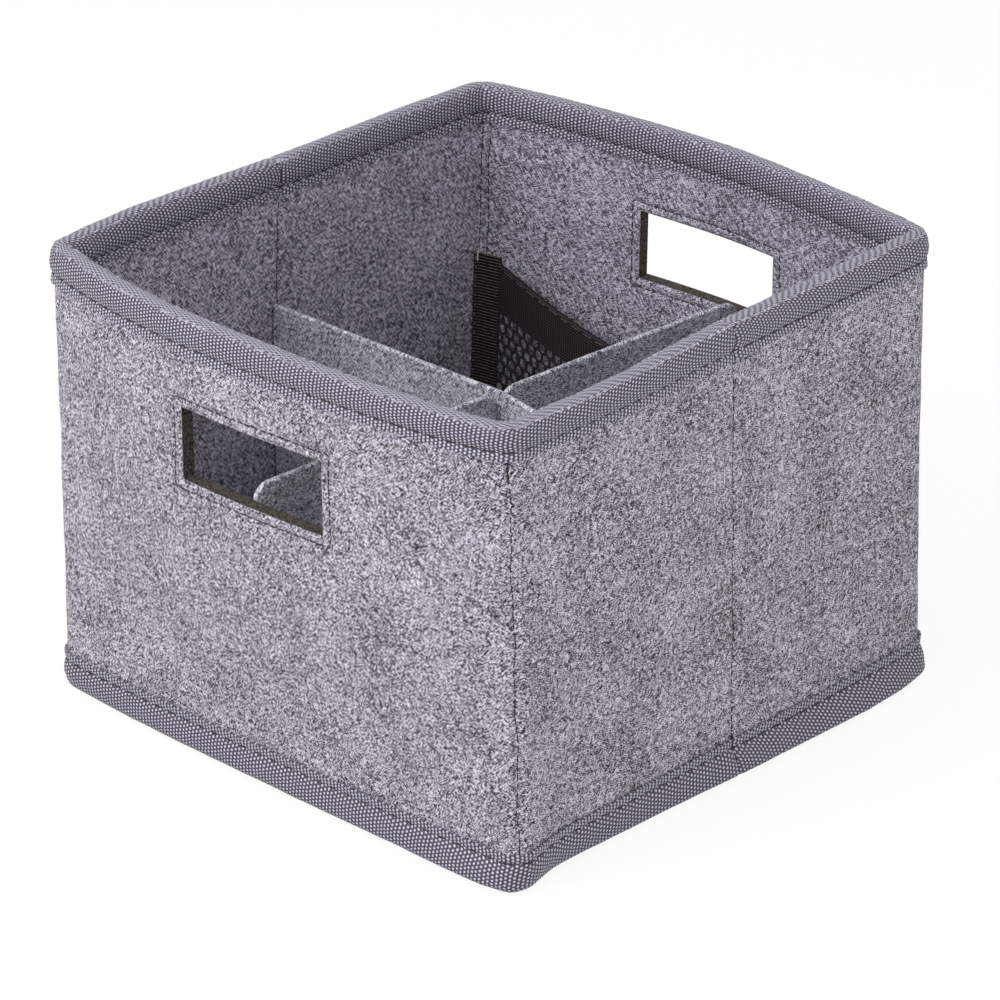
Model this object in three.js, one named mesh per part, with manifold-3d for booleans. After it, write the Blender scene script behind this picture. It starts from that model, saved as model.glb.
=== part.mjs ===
// Folding felt box with two handle walls, two creased walls, a lift-out divider set and a net pocket.
// Millimetres, +Z up. X runs along the handle walls, the front handle wall faces -Y.
// The origin is on the ground at the middle of the box.

import * as THREE from 'three';
import { mergeVertices } from 'three/addons/utils/BufferGeometryUtils.js';
import Module from 'manifold-3d';

const wasm = await Module();
wasm.setup();

// Overall size over the outer felt faces, and the height over the rim tape
const boxWidth = 300;
const boxDepth = 296;
const boxHeight = 230;

// Wall sandwich: felt, core board, felt
const feltThickness = 2;
const boardThickness = 3.4;
const layerGap = 0.3;

// Binding tape folded over the top edge and round the bottom edge
const tapeThickness = 1;
const tapeReach = 18.5;
const tapeRounding = 3;

// Handle walls bow outwards: how far at the base and at the rim, and the height of the full bow
const bowAtBase = 2;
const bowAtRim = 15;
const bowFullHeight = 150;

// Hand holes in the handle walls
const handleWidth = 89;
const handleHeight = 36;
const handleBottom = 148;

// Base sheet
const baseThickness = 2;
const baseInset = 3;

// Hinges: free room kept between folded layers, and the room beside a hinge line at rest
const foldClearance = 1;
const hingeGap = 0.3;
const creaseGap = 0.8;
const boardSetback = 3;

// Divider set, standing slightly turned in the box
const dividerThickness = 3;
const dividerHeight = 153;
const dividerClearance = 0.5;
const dividerSlotShare = 0.5;
const dividerSlotClearance = 0.4;
const dividerCornerRadius = 9;
const crossDividerDrop = 4;
const dividerCentreX = 8;
const dividerCentreY = -2.5;
const dividerYaw = -3.5 * Math.PI / 180;

// Net pocket at the back left corner
const pocketHeight = 140;
const pocketFloorGap = 1;
const netThickness = 1;
const netColumns = 14;
const netRows = 10;
const netBar = 2.4;
const elasticWidth = 26;
const elasticThickness = 1.2;
const pocketTapeWidth = 14;
const pocketTapeReturn = 6.5;
const pocketTapeThickness = 0.9;
const pocketTapeChamfer = 1.3;
const pocketTapeOverrun = 3;
const pocketEndTapeWidth = 4.4;
const pocketStandOff = 30;
const pocketStandOffPower = 1.5;
const pocketDroop = 13;
const pocketDroopPower = 2;
const pocketPeak = 0.74;
const pocketGap = 0.3;
const pocketToDivider = 2;

// Steps used to draw the bowed walls and the round corners
const bowColumns = 12;
const bowRows = 6;
const cornerSteps = 4;
const leastStep = 1;
const weldDistance = 1e-4;

// Derived sizes
const wallThickness = 2 * feltThickness + boardThickness + 2 * layerGap;
const tapeClearance = layerGap;
const tapeProud = tapeClearance + tapeThickness;
const boundThickness = wallThickness + 2 * tapeProud;
const halfBound = boundThickness / 2;
const wallBottom = baseThickness + layerGap + tapeProud;
const wallTop = boxHeight - tapeProud;
const middleX = (boxWidth - wallThickness) / 2;
const middleY = (boxDepth - wallThickness) / 2;
const hingeX = middleX - halfBound - foldClearance / 2;
const hingeY = middleY - halfBound - foldClearance / 2;
const turnRadius = middleX - hingeX;
const baseTapeTop = wallBottom - tapeProud + tapeReach;
const innerX = boxWidth / 2 - wallThickness;
const innerY = boxDepth / 2 - wallThickness;

const felt = { color: 0x8f8d94, roughness: 0.95, metalness: 0 };
const innerFelt = { color: 0x79777f, roughness: 0.95, metalness: 0 };
const dividerFelt = { color: 0x9599a3, roughness: 0.95, metalness: 0 };
const tape = { color: 0x5d5f6a, roughness: 0.8, metalness: 0 };
const board = { color: 0x3b382f, roughness: 0.9, metalness: 0 };
const blackTape = { color: 0x1d1b1d, roughness: 0.8, metalness: 0 };
const net = { color: 0x232125, roughness: 0.7, metalness: 0 };

const box = new THREE.Group();

function addPart(name, geometry, finish) {
  const mesh = new THREE.Mesh(geometry, new THREE.MeshStandardMaterial(finish));
  mesh.name = name;
  box.add(mesh);
  return mesh;
}

// Height rows shared by everything that bows, so that nested pieces keep their gaps
function rowsBetween(low, high) {
  const rows = [low];
  for (let row = 1; row <= bowRows; row += 1) {
    const level = (bowFullHeight * row) / bowRows;
    if (level > low + leastStep && level < high - leastStep) rows.push(level);
  }
  rows.push(high);
  return rows;
}

function columnsBetween(low, high) {
  const columns = [low];
  for (let column = 0; column <= bowColumns; column += 1) {
    const place = -hingeX + (2 * hingeX * column) / bowColumns;
    if (place > low + leastStep && place < high - leastStep) columns.push(place);
  }
  columns.push(high);
  return columns;
}

// Outward bow of a handle wall: a parabola between the corner hinges that grows in steps up the wall
function bowAt(x, z) {
  const span = Math.max(0, 1 - (x / hingeX) ** 2);
  const level = Math.min(Math.max(z, 0), bowFullHeight);
  const step = bowFullHeight / bowRows;
  const row = Math.min(Math.floor(level / step), bowRows - 1);
  const ease = (t) => 0.5 - 0.5 * Math.cos(Math.PI * t);
  const below = ease(row / bowRows);
  const above = ease((row + 1) / bowRows);
  const share = below + (above - below) * ((level - row * step) / step);
  return span * (bowAtBase + (bowAtRim - bowAtBase) * share);
}

function bowOutwards(geometry, side) {
  const place = geometry.attributes.position;
  for (let i = 0; i < place.count; i += 1) {
    place.setY(i, place.getY(i) + side * bowAt(place.getX(i), place.getZ(i)));
  }
  return geometry;
}

function indexed(vertices, triangles) {
  const geometry = new THREE.BufferGeometry();
  geometry.setAttribute('position', new THREE.Float32BufferAttribute(vertices, 3));
  geometry.setIndex(triangles);
  return geometry;
}

// Closed plate between y0 and y1 with its own columns along X and rows along Z
function gridPlate(columns, rows, y0, y1) {
  const vertices = [];
  const triangles = [];
  const across = columns.length;
  const up = rows.length;
  const at = (i, j, face) => (face * up + j) * across + i;
  for (const y of [y0, y1]) {
    for (const z of rows) {
      for (const x of columns) vertices.push(x, y, z);
    }
  }
  const quad = (a, b, c, d) => triangles.push(a, b, c, a, c, d);
  for (let j = 0; j + 1 < up; j += 1) {
    for (let i = 0; i + 1 < across; i += 1) {
      quad(at(i, j, 0), at(i + 1, j, 0), at(i + 1, j + 1, 0), at(i, j + 1, 0));
      quad(at(i, j, 1), at(i, j + 1, 1), at(i + 1, j + 1, 1), at(i + 1, j, 1));
    }
    quad(at(0, j, 0), at(0, j + 1, 0), at(0, j + 1, 1), at(0, j, 1));
    quad(at(across - 1, j, 0), at(across - 1, j, 1), at(across - 1, j + 1, 1), at(across - 1, j + 1, 0));
  }
  for (let i = 0; i + 1 < across; i += 1) {
    quad(at(i, 0, 0), at(i, 0, 1), at(i + 1, 0, 1), at(i + 1, 0, 0));
    quad(at(i, up - 1, 0), at(i + 1, up - 1, 0), at(i + 1, up - 1, 1), at(i, up - 1, 1));
  }
  return indexed(vertices, triangles);
}

function toManifold(geometry) {
  const plain = geometry.clone();
  plain.deleteAttribute('normal');
  plain.deleteAttribute('uv');
  const merged = mergeVertices(plain, weldDistance);
  const vertProperties = new Float32Array(merged.attributes.position.array);
  const triVerts = new Uint32Array(merged.index.array);
  return new wasm.Manifold(new wasm.Mesh({ numProp: 3, vertProperties, triVerts }));
}

function cutAway(geometry, cutter) {
  const result = toManifold(geometry).subtract(toManifold(cutter)).getMesh();
  const cut = new THREE.BufferGeometry();
  cut.setAttribute('position', new THREE.BufferAttribute(new Float32Array(result.vertProperties), 3));
  cut.setIndex(new THREE.BufferAttribute(new Uint32Array(result.triVerts), 1));
  return cut;
}

function handleCutter() {
  const cutter = new THREE.BoxGeometry(handleWidth, 2 * boxDepth, handleHeight);
  cutter.translate(0, 0, handleBottom + handleHeight / 2);
  return cutter;
}

// Section of a folded tape, across the wall and up: a channel that opens downwards, its back rounded
function tapeSection() {
  const inside = wallThickness / 2 + tapeClearance;
  const edge = tapeReach - tapeThickness;
  const rounded = [];
  for (let step = 0; step <= cornerSteps; step += 1) {
    const angle = (Math.PI / 2) * (step / cornerSteps);
    const across = halfBound - tapeRounding + tapeRounding * Math.cos(angle);
    rounded.push([across, tapeRounding - tapeThickness - tapeRounding * Math.sin(angle)]);
  }
  const mirrored = rounded.map(([across, drop]) => [-across, drop]).reverse();
  return [
    [halfBound, edge], ...rounded, ...mirrored, [-halfBound, edge],
    [-inside, edge], [-inside, 0], [inside, 0], [inside, edge],
  ];
}

// Sweeps a section along a level path. Each stop holds a place and the direction across the path.
function sweepTape(stops, edgeLevel, upward) {
  const section = tapeSection();
  const count = section.length;
  const vertices = [];
  const triangles = [];
  for (const stop of stops) {
    for (const [across, drop] of section) {
      const z = upward ? edgeLevel + drop : edgeLevel - drop;
      vertices.push(stop.x + stop.nx * across, stop.y + stop.ny * across, z);
    }
  }
  const outline = section.map(([across, drop]) => new THREE.Vector2(across, drop));
  const cap = THREE.ShapeUtils.triangulateShape(outline, []);
  const last = (stops.length - 1) * count;
  for (const [a, b, c] of cap) {
    triangles.push(a, b, c);
    triangles.push(last + a, last + c, last + b);
  }
  for (let s = 0; s + 1 < stops.length; s += 1) {
    for (let i = 0; i < count; i += 1) {
      const j = (i + 1) % count;
      const a = s * count + i;
      const b = s * count + j;
      const c = (s + 1) * count + j;
      const d = (s + 1) * count + i;
      triangles.push(a, b, c, a, c, d);
    }
  }
  return indexed(vertices, triangles);
}

// Turns the triangles round where the solid is inside out
function facesOut(geometry) {
  const place = geometry.attributes.position;
  const index = geometry.index;
  const a = new THREE.Vector3();
  const b = new THREE.Vector3();
  const c = new THREE.Vector3();
  let volume = 0;
  for (let i = 0; i < index.count; i += 3) {
    a.fromBufferAttribute(place, index.getX(i));
    b.fromBufferAttribute(place, index.getX(i + 1));
    c.fromBufferAttribute(place, index.getX(i + 2));
    volume += a.dot(b.cross(c));
  }
  if (volume < 0) geometry.setIndex(Array.from(index.array).reverse());
  return geometry;
}

// Path of a handle wall's tape: round the left corner, along the wall, round the right corner
function handleWallStops(side) {
  const stops = [];
  const cornerStops = (sign) => {
    const list = [];
    for (let step = 0; step <= cornerSteps; step += 1) {
      const angle = (Math.PI / 2) * (step / cornerSteps);
      const nx = sign * Math.cos(angle);
      const ny = side * Math.sin(angle);
      list.push({ x: sign * hingeX + turnRadius * nx, y: side * hingeY + turnRadius * ny, nx, ny });
    }
    return list;
  };
  stops.push(...cornerStops(-1));
  for (const x of columnsBetween(-hingeX, hingeX).slice(1, -1)) {
    stops.push({ x, y: side * middleY, nx: 0, ny: side });
  }
  stops.push(...cornerStops(1).reverse());
  return stops;
}

function handleWallTape(side, edgeLevel, upward) {
  return facesOut(bowOutwards(sweepTape(handleWallStops(side), edgeLevel, upward), side));
}

function halfWallTape(sideX, sideY, edgeLevel, upward) {
  const from = sideY * (hingeY - hingeGap);
  const to = (sideY * creaseGap) / 2;
  const stops = [from, to].map((y) => ({ x: sideX * middleX, y, nx: sideX, ny: 0 }));
  return facesOut(sweepTape(stops, edgeLevel, upward));
}

// Layer of a handle wall, from its inner face outwards
function handleWallLayer(side, offset, thickness, reach) {
  const rows = rowsBetween(wallBottom, wallTop);
  const columns = columnsBetween(-reach, reach);
  const near = middleY - wallThickness / 2 + offset;
  const low = side > 0 ? near : -near - thickness;
  const plate = gridPlate(columns, rows, low, low + thickness);
  return cutAway(bowOutwards(plate, side), handleCutter());
}

function plate(x0, x1, y0, y1, z0, z1) {
  const geometry = new THREE.BoxGeometry(Math.abs(x1 - x0), Math.abs(y1 - y0), Math.abs(z1 - z0));
  geometry.translate((x0 + x1) / 2, (y0 + y1) / 2, (z0 + z1) / 2);
  return geometry;
}

// Layer of half a creased wall, from its inner face outwards, set back from the hinge and the crease
function halfWallLayer(sideX, sideY, offset, thickness, setback) {
  const near = middleX - wallThickness / 2 + offset;
  const hingeEnd = hingeY - hingeGap - setback;
  const creaseEnd = creaseGap / 2 + setback;
  return plate(
    sideX * near, sideX * (near + thickness),
    sideY * creaseEnd, sideY * hingeEnd,
    wallBottom, wallTop,
  );
}

const outerOffset = feltThickness + 2 * layerGap + boardThickness;
const boardOffset = feltThickness + layerGap;
const wallReach = hingeX - hingeGap / 2;

function addHandleWall(name, side) {
  const boardReach = wallReach - boardSetback;
  addPart(`${name}_outer_felt`, handleWallLayer(side, outerOffset, feltThickness, wallReach), felt);
  addPart(`${name}_core_board`, handleWallLayer(side, boardOffset, boardThickness, boardReach), board);
  addPart(`${name}_inner_felt`, handleWallLayer(side, 0, feltThickness, wallReach), innerFelt);
  addPart(`${name}_rim_binding`, handleWallTape(side, wallTop + tapeClearance, false), tape);
  addPart(`${name}_base_binding`, handleWallTape(side, wallBottom - tapeClearance, true), tape);
}

function addHalfWall(name, sideX, sideY) {
  addPart(`${name}_outer_felt`, halfWallLayer(sideX, sideY, outerOffset, feltThickness, 0), felt);
  const core = halfWallLayer(sideX, sideY, boardOffset, boardThickness, boardSetback);
  addPart(`${name}_core_board`, core, board);
  addPart(`${name}_inner_felt`, halfWallLayer(sideX, sideY, 0, feltThickness, 0), innerFelt);
  addPart(`${name}_rim_binding`, halfWallTape(sideX, sideY, wallTop + tapeClearance, false), tape);
  addPart(`${name}_base_binding`, halfWallTape(sideX, sideY, wallBottom - tapeClearance, true), tape);
}

// Soft sewn corner: felt without board, a quarter round about the hinge line
function cornerFelt(sideX, sideY) {
  const steps = 2 * cornerSteps;
  const arc = (radius) => {
    const start = Math.asin(hingeGap / 2 / radius);
    return Array.from({ length: steps + 1 }, (_, step) => {
      const angle = start + (Math.PI / 2 - 2 * start) * (step / steps);
      const x = sideX * (hingeX + radius * Math.cos(angle));
      return new THREE.Vector2(x, sideY * (hingeY + radius * Math.sin(angle)));
    });
  };
  const outer = arc(turnRadius + wallThickness / 2);
  const inner = arc(turnRadius - wallThickness / 2);
  const shape = new THREE.Shape([...outer, ...inner.reverse()]);
  const geometry = new THREE.ExtrudeGeometry(shape, { depth: wallTop - wallBottom, bevelEnabled: false });
  geometry.translate(0, 0, wallBottom);
  return geometry;
}

// Base sheet, drawn in from the bindings' outer faces, with round corners
function baseSheet() {
  const halfX = middleX + halfBound - baseInset;
  const halfY = middleY + halfBound - baseInset;
  const radius = turnRadius + halfBound - baseInset;
  const shape = new THREE.Shape();
  for (const [quarter, signX, signY] of [[0, 1, 1], [1, -1, 1], [2, -1, -1], [3, 1, -1]]) {
    const start = (quarter * Math.PI) / 2;
    shape.absarc(signX * (halfX - radius), signY * (halfY - radius), radius, start, start + Math.PI / 2);
  }
  shape.closePath();
  return new THREE.ExtrudeGeometry(shape, {
    depth: baseThickness, bevelEnabled: false, curveSegments: cornerSteps,
  });
}

// Dividers. The outline is drawn along the divider and up, then stood in its place.
const dividerBottom = baseThickness + layerGap;
const dividerTop = dividerBottom + dividerHeight;
const slotLevel = dividerBottom + dividerHeight * dividerSlotShare;
const slotHalf = dividerThickness / 2 + dividerSlotClearance;

// The dividers' lower corners are cut back where the base binding lies
const notchDepth = tapeProud;
const notchLevel = baseTapeTop + dividerClearance;

function standDivider(shape, yaw) {
  const geometry = new THREE.ExtrudeGeometry(shape, {
    depth: dividerThickness, bevelEnabled: false, curveSegments: cornerSteps,
  });
  geometry.translate(0, 0, -dividerThickness / 2);
  geometry.rotateX(Math.PI / 2);
  geometry.rotateZ(yaw);
  geometry.translate(dividerCentreX, dividerCentreY, 0);
  return geometry;
}

function longDivider() {
  const limit = innerX - dividerClearance;
  const shrink = Math.cos(dividerYaw);
  const left = (-limit - dividerCentreX) / shrink;
  const right = (limit - dividerCentreX) / shrink;
  const shape = new THREE.Shape();
  shape.moveTo(left, notchLevel);
  shape.lineTo(left + notchDepth, notchLevel);
  shape.lineTo(left + notchDepth, dividerBottom);
  shape.lineTo(-slotHalf, dividerBottom);
  shape.lineTo(-slotHalf, slotLevel + dividerSlotClearance / 2);
  shape.lineTo(slotHalf, slotLevel + dividerSlotClearance / 2);
  shape.lineTo(slotHalf, dividerBottom);
  shape.lineTo(right - notchDepth, dividerBottom);
  shape.lineTo(right - notchDepth, notchLevel);
  shape.lineTo(right, notchLevel);
  shape.lineTo(right, dividerTop);
  shape.lineTo(left, dividerTop);
  shape.closePath();
  return standDivider(shape, dividerYaw);
}

// End of the cross divider at a level, where it meets the bowed handle wall
function crossEnd(side, z) {
  const guess = side * innerY - dividerCentreY;
  const x = dividerCentreX - guess * Math.sin(dividerYaw);
  const wall = side * (innerY + bowAt(x, z) - dividerClearance);
  return (wall - dividerCentreY) / Math.cos(dividerYaw);
}

function crossDivider() {
  const top = dividerTop - crossDividerDrop;
  const radius = dividerCornerRadius;
  const rows = rowsBetween(notchLevel, top - radius);
  const shape = new THREE.Shape();
  const frontTop = crossEnd(-1, top);
  const rearTop = crossEnd(1, top);
  shape.moveTo(crossEnd(-1, notchLevel) + notchDepth, notchLevel);
  shape.lineTo(crossEnd(-1, dividerBottom) + notchDepth, dividerBottom);
  shape.lineTo(crossEnd(1, dividerBottom) - notchDepth, dividerBottom);
  shape.lineTo(crossEnd(1, notchLevel) - notchDepth, notchLevel);
  for (const z of rows) shape.lineTo(crossEnd(1, z), z);
  shape.quadraticCurveTo(rearTop, top, rearTop - radius, top);
  shape.lineTo(slotHalf + radius, top);
  shape.quadraticCurveTo(slotHalf, top, slotHalf, top - radius);
  shape.lineTo(slotHalf, slotLevel - dividerSlotClearance / 2);
  shape.lineTo(-slotHalf, slotLevel - dividerSlotClearance / 2);
  shape.lineTo(-slotHalf, top - radius);
  shape.quadraticCurveTo(-slotHalf, top, -slotHalf - radius, top);
  shape.lineTo(frontTop + radius, top);
  shape.quadraticCurveTo(frontTop, top, crossEnd(-1, top - radius), top - radius);
  for (const z of rows.slice(0, -1).reverse()) shape.lineTo(crossEnd(-1, z), z);
  shape.closePath();
  return standDivider(shape, dividerYaw + Math.PI / 2);
}

// Net pocket. Its mouth hangs away from the wall, its other edges lie on it.
const dividerRun = (innerY - dividerCentreY) * Math.tan(-dividerYaw);
const dividerAtWall = dividerCentreX + dividerRun - dividerThickness / 2;
const endTapeRight = dividerAtWall - pocketToDivider;
const endTapeLeft = endTapeRight - pocketEndTapeWidth;
const pocketLeft = -innerX + pocketTapeWidth;
const pocketRight = endTapeLeft - pocketGap;
const pocketSpan = pocketRight - pocketLeft;
const elasticLow = pocketHeight - elasticWidth;
const pocketFloor = baseTapeTop + pocketFloorGap;

function standOffShare(u) {
  if (u < pocketPeak) return u / pocketPeak;
  const t = (u - pocketPeak) / (1 - pocketPeak);
  return Math.cos((Math.PI / 2) * t);
}

// Place on the pocket's sheet: u runs along the wall, z is the level before it droops
function pocketPlace(u, z, inward) {
  const x = pocketLeft + pocketSpan * u;
  const rise = (z - pocketFloor) / (pocketHeight - pocketFloor);
  const droop = pocketDroop * standOffShare(u) * rise ** pocketDroopPower;
  const level = z - droop;
  const off = pocketStandOff * standOffShare(u) * rise ** pocketStandOffPower;
  return [x, innerY + bowAt(x, level) - pocketGap - inward - off, level];
}

// Wide elastic along the pocket's mouth
function pocketElastic() {
  const vertices = [];
  for (const depth of [elasticThickness, 0]) {
    for (const z of [elasticLow, pocketHeight]) {
      for (let i = 0; i <= netColumns; i += 1) vertices.push(...pocketPlace(i / netColumns, z, depth));
    }
  }
  const flat = gridPlate(Array.from({ length: netColumns + 1 }, (_, i) => i), [0, 1], 0, 1);
  return facesOut(indexed(vertices, Array.from(flat.index.array)));
}

// Net: a sheet with a diamond gap in each cell. A cell's side is two edges, and faces one corner of the gap.
function pocketNet() {
  const vertices = [];
  const triangles = [];
  const top = elasticLow - pocketGap;
  const cellWide = 1 / netColumns;
  const cellHigh = (top - pocketFloor) / netRows;
  const gapWide = 0.5 - netBar / (pocketSpan * cellWide) / 2;
  const gapHigh = 0.5 - netBar / cellHigh / 2;
  const edge = [
    [-0.5, -0.5], [0, -0.5], [0.5, -0.5], [0.5, 0], [0.5, 0.5], [0, 0.5], [-0.5, 0.5], [-0.5, 0],
  ];
  const gap = [[0, -gapHigh], [gapWide, 0], [0, gapHigh], [-gapWide, 0]];
  const quad = (a, b, c, d) => triangles.push(a, b, c, a, c, d);
  const cellFace = (row, column, depth) => {
    const put = ([u, v]) => {
      const level = pocketFloor + (row + 0.5 + v) * cellHigh;
      vertices.push(...pocketPlace((column + 0.5 + u) * cellWide, level, depth));
      return vertices.length / 3 - 1;
    };
    return { edge: edge.map(put), gap: gap.map(put) };
  };
  for (let row = 0; row < netRows; row += 1) {
    for (let column = 0; column < netColumns; column += 1) {
      const near = cellFace(row, column, netThickness);
      const far = cellFace(row, column, 0);
      const border = [row === 0, column === netColumns - 1, row === netRows - 1, column === 0];
      for (let side = 0; side < 4; side += 1) {
        const next = (side + 1) % 4;
        const [a, b, c] = [2 * side, 2 * side + 1, (2 * side + 2) % 8];
        for (const [i, j] of [[a, b], [b, c]]) {
          triangles.push(near.edge[i], near.edge[j], near.gap[side]);
          triangles.push(far.edge[i], far.gap[side], far.edge[j]);
          if (border[side]) quad(near.edge[i], far.edge[i], far.edge[j], near.edge[j]);
        }
        triangles.push(near.edge[c], near.gap[next], near.gap[side]);
        triangles.push(far.edge[c], far.gap[side], far.gap[next]);
        quad(near.gap[side], near.gap[next], far.gap[next], far.gap[side]);
      }
    }
  }
  return facesOut(mergeVertices(indexed(vertices, triangles), weldDistance));
}

// Herringbone tape folded into the back left corner
function pocketCornerTape() {
  const left = -innerX + pocketGap;
  const back = innerY - pocketGap;
  const right = pocketLeft - pocketGap;
  const shape = new THREE.Shape();
  shape.moveTo(left, back - pocketTapeReturn);
  shape.lineTo(left + pocketTapeThickness, back - pocketTapeReturn);
  shape.lineTo(left + pocketTapeThickness, back - pocketTapeThickness);
  shape.lineTo(right, back - pocketTapeThickness);
  shape.lineTo(right, back);
  shape.lineTo(left + pocketTapeChamfer, back);
  shape.lineTo(left, back - pocketTapeChamfer);
  shape.closePath();
  const length = pocketHeight + pocketTapeOverrun - pocketFloor;
  const geometry = new THREE.ExtrudeGeometry(shape, { depth: length, bevelEnabled: false });
  geometry.translate(0, 0, pocketFloor);
  return geometry;
}

// Tape that holds the other end of the net to the bowed wall
function pocketEndTape() {
  const vertices = [];
  const rows = rowsBetween(pocketFloor, pocketHeight);
  for (const depth of [pocketGap + pocketTapeThickness, pocketGap]) {
    for (const z of rows) {
      for (const x of [endTapeLeft, endTapeRight]) vertices.push(x, innerY + bowAt(x, z) - depth, z);
    }
  }
  const flat = gridPlate([0, 1], rows, 0, 1);
  return facesOut(indexed(vertices, Array.from(flat.index.array)));
}

addHandleWall('front_wall', -1);
addHandleWall('rear_wall', 1);
addHalfWall('right_front_half', 1, -1);
addHalfWall('right_rear_half', 1, 1);
addHalfWall('left_front_half', -1, -1);
addHalfWall('left_rear_half', -1, 1);
addPart('front_left_corner_felt', cornerFelt(-1, -1), felt);
addPart('front_right_corner_felt', cornerFelt(1, -1), felt);
addPart('rear_left_corner_felt', cornerFelt(-1, 1), felt);
addPart('rear_right_corner_felt', cornerFelt(1, 1), felt);
addPart('base_sheet', baseSheet(), felt);
addPart('long_divider', longDivider(), dividerFelt);
addPart('cross_divider', crossDivider(), dividerFelt);
addPart('pocket_net', pocketNet(), net);
addPart('pocket_elastic', pocketElastic(), blackTape);
addPart('pocket_corner_tape', pocketCornerTape(), blackTape);
addPart('pocket_end_tape', pocketEndTape(), blackTape);

export default box;
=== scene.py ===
"""Folding felt box: two handle walls, two creased walls, a lift-out divider set and a net pocket.

Sizes are millimetres in the part's own frame, and become metres where a mesh or a node tree is made.
Every fabric piece is placed by the distance round the box, the height and the depth from the wall's middle.
"""

import logging
import math
from dataclasses import dataclass
from enum import Enum
from functools import partial
from typing import Callable, Mapping, Sequence

import bmesh
import bpy
import numpy as np
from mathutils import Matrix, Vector


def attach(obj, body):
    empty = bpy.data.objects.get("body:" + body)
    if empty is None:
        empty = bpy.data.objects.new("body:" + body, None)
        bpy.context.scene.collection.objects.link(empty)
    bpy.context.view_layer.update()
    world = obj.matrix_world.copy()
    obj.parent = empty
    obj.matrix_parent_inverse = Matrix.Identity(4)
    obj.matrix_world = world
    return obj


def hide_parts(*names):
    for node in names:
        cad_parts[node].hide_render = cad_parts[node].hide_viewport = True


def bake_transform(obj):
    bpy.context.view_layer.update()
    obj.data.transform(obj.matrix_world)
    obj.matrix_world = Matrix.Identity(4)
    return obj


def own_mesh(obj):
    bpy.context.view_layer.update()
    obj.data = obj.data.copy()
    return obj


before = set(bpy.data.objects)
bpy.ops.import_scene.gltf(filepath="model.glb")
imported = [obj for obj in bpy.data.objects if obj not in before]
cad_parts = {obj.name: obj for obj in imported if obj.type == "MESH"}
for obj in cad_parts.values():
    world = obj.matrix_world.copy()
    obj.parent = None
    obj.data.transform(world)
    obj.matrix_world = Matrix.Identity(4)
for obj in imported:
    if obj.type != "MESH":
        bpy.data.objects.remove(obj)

MM = 0.001
LOG = logging.getLogger("folding_box")
UV_NAME = "UVMap"
FACING = "facing"
SHARP_ANGLE = math.radians(62)
SEAM_STEP = 1.5
RIPPLE_STEPS = (1.0, 1.6, 2.5, 3.9, 5.7)
RIPPLE_MOST = 3.2
HOLLOW_WAVES = 12
HOLLOW_COUNTS = (8, 42)
HOLLOW_RISE = 0.2
HOLLOW_MOST = 4.5

NodeAdder = Callable[..., bpy.types.Node]


class Side(Enum):
    """The four walls, in the order in which the distance round the box passes them."""

    FRONT = 0
    RIGHT = 1
    REAR = 2
    LEFT = 3

    @property
    def has_handle(self) -> bool:
        """Whether the wall has a hand hole, and no crease."""
        return self in (Side.FRONT, Side.REAR)


class Edge(Enum):
    """The two edges of a wall that are bound with tape."""

    RIM = "rim"
    BASE = "base"


class Face(Enum):
    """The two faces of a wall; the value is the sign of the depth from its middle."""

    OUTER = 1
    INNER = -1


@dataclass(frozen=True)
class BoxSizes:
    """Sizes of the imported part, in millimetres."""

    height: float = 230.0
    hinge_x: float = 140.2
    hinge_y: float = 138.2
    turn_radius: float = 5.8
    wall: float = 8.0
    wall_bottom: float = 3.6
    wall_top: float = 228.7
    bow_at_base: float = 2.0
    bow_at_rim: float = 15.0
    bow_full_height: float = 150.0
    handle_width: float = 89.0
    handle_height: float = 36.0
    handle_bottom: float = 148.0
    handle_seam: float = 4.6
    tape_reach: float = 18.5
    tape_thickness: float = 1.0
    tape_half: float = 5.3

    @property
    def turn_length(self) -> float:
        """Length of the wall's middle round one corner."""
        return self.turn_radius * math.pi / 2

    @property
    def apart(self) -> float:
        """Distance round the box from the middle of one wall to the middle of the next."""
        return self.hinge_x + self.turn_length + self.hinge_y

    @property
    def around(self) -> float:
        """Length of the wall's middle all round the box."""
        return len(Side) * self.apart

    @property
    def handle_top(self) -> float:
        """Level of the upper edge of the hand holes."""
        return self.handle_bottom + self.handle_height

    def half(self, side: Side) -> float:
        """Half the length of a wall between its hinges."""
        return self.hinge_x if side.has_handle else self.hinge_y

    def to_corner(self, side: Side) -> float:
        """Distance from a wall's middle to the middle of the turn at its end."""
        return self.half(side) + self.turn_length / 2


SIZES = BoxSizes()

SideTable = Mapping[Side, Sequence[tuple[float, ...]]]


def way_from(distance: np.ndarray, place: float) -> np.ndarray:
    """Shortest way round the box from a place to each distance, negative where it is behind the place."""
    return (distance - place + SIZES.around / 2) % SIZES.around - SIZES.around / 2


def bell(off: np.ndarray, width: float) -> np.ndarray:
    """A bell that is one where the distance is nought and fades over a width."""
    return np.exp(-(off / width) ** 2)


def centres(places: np.ndarray) -> np.ndarray:
    """Places half way between neighbours in a row."""
    return (places[1:] + places[:-1]) / 2


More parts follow.
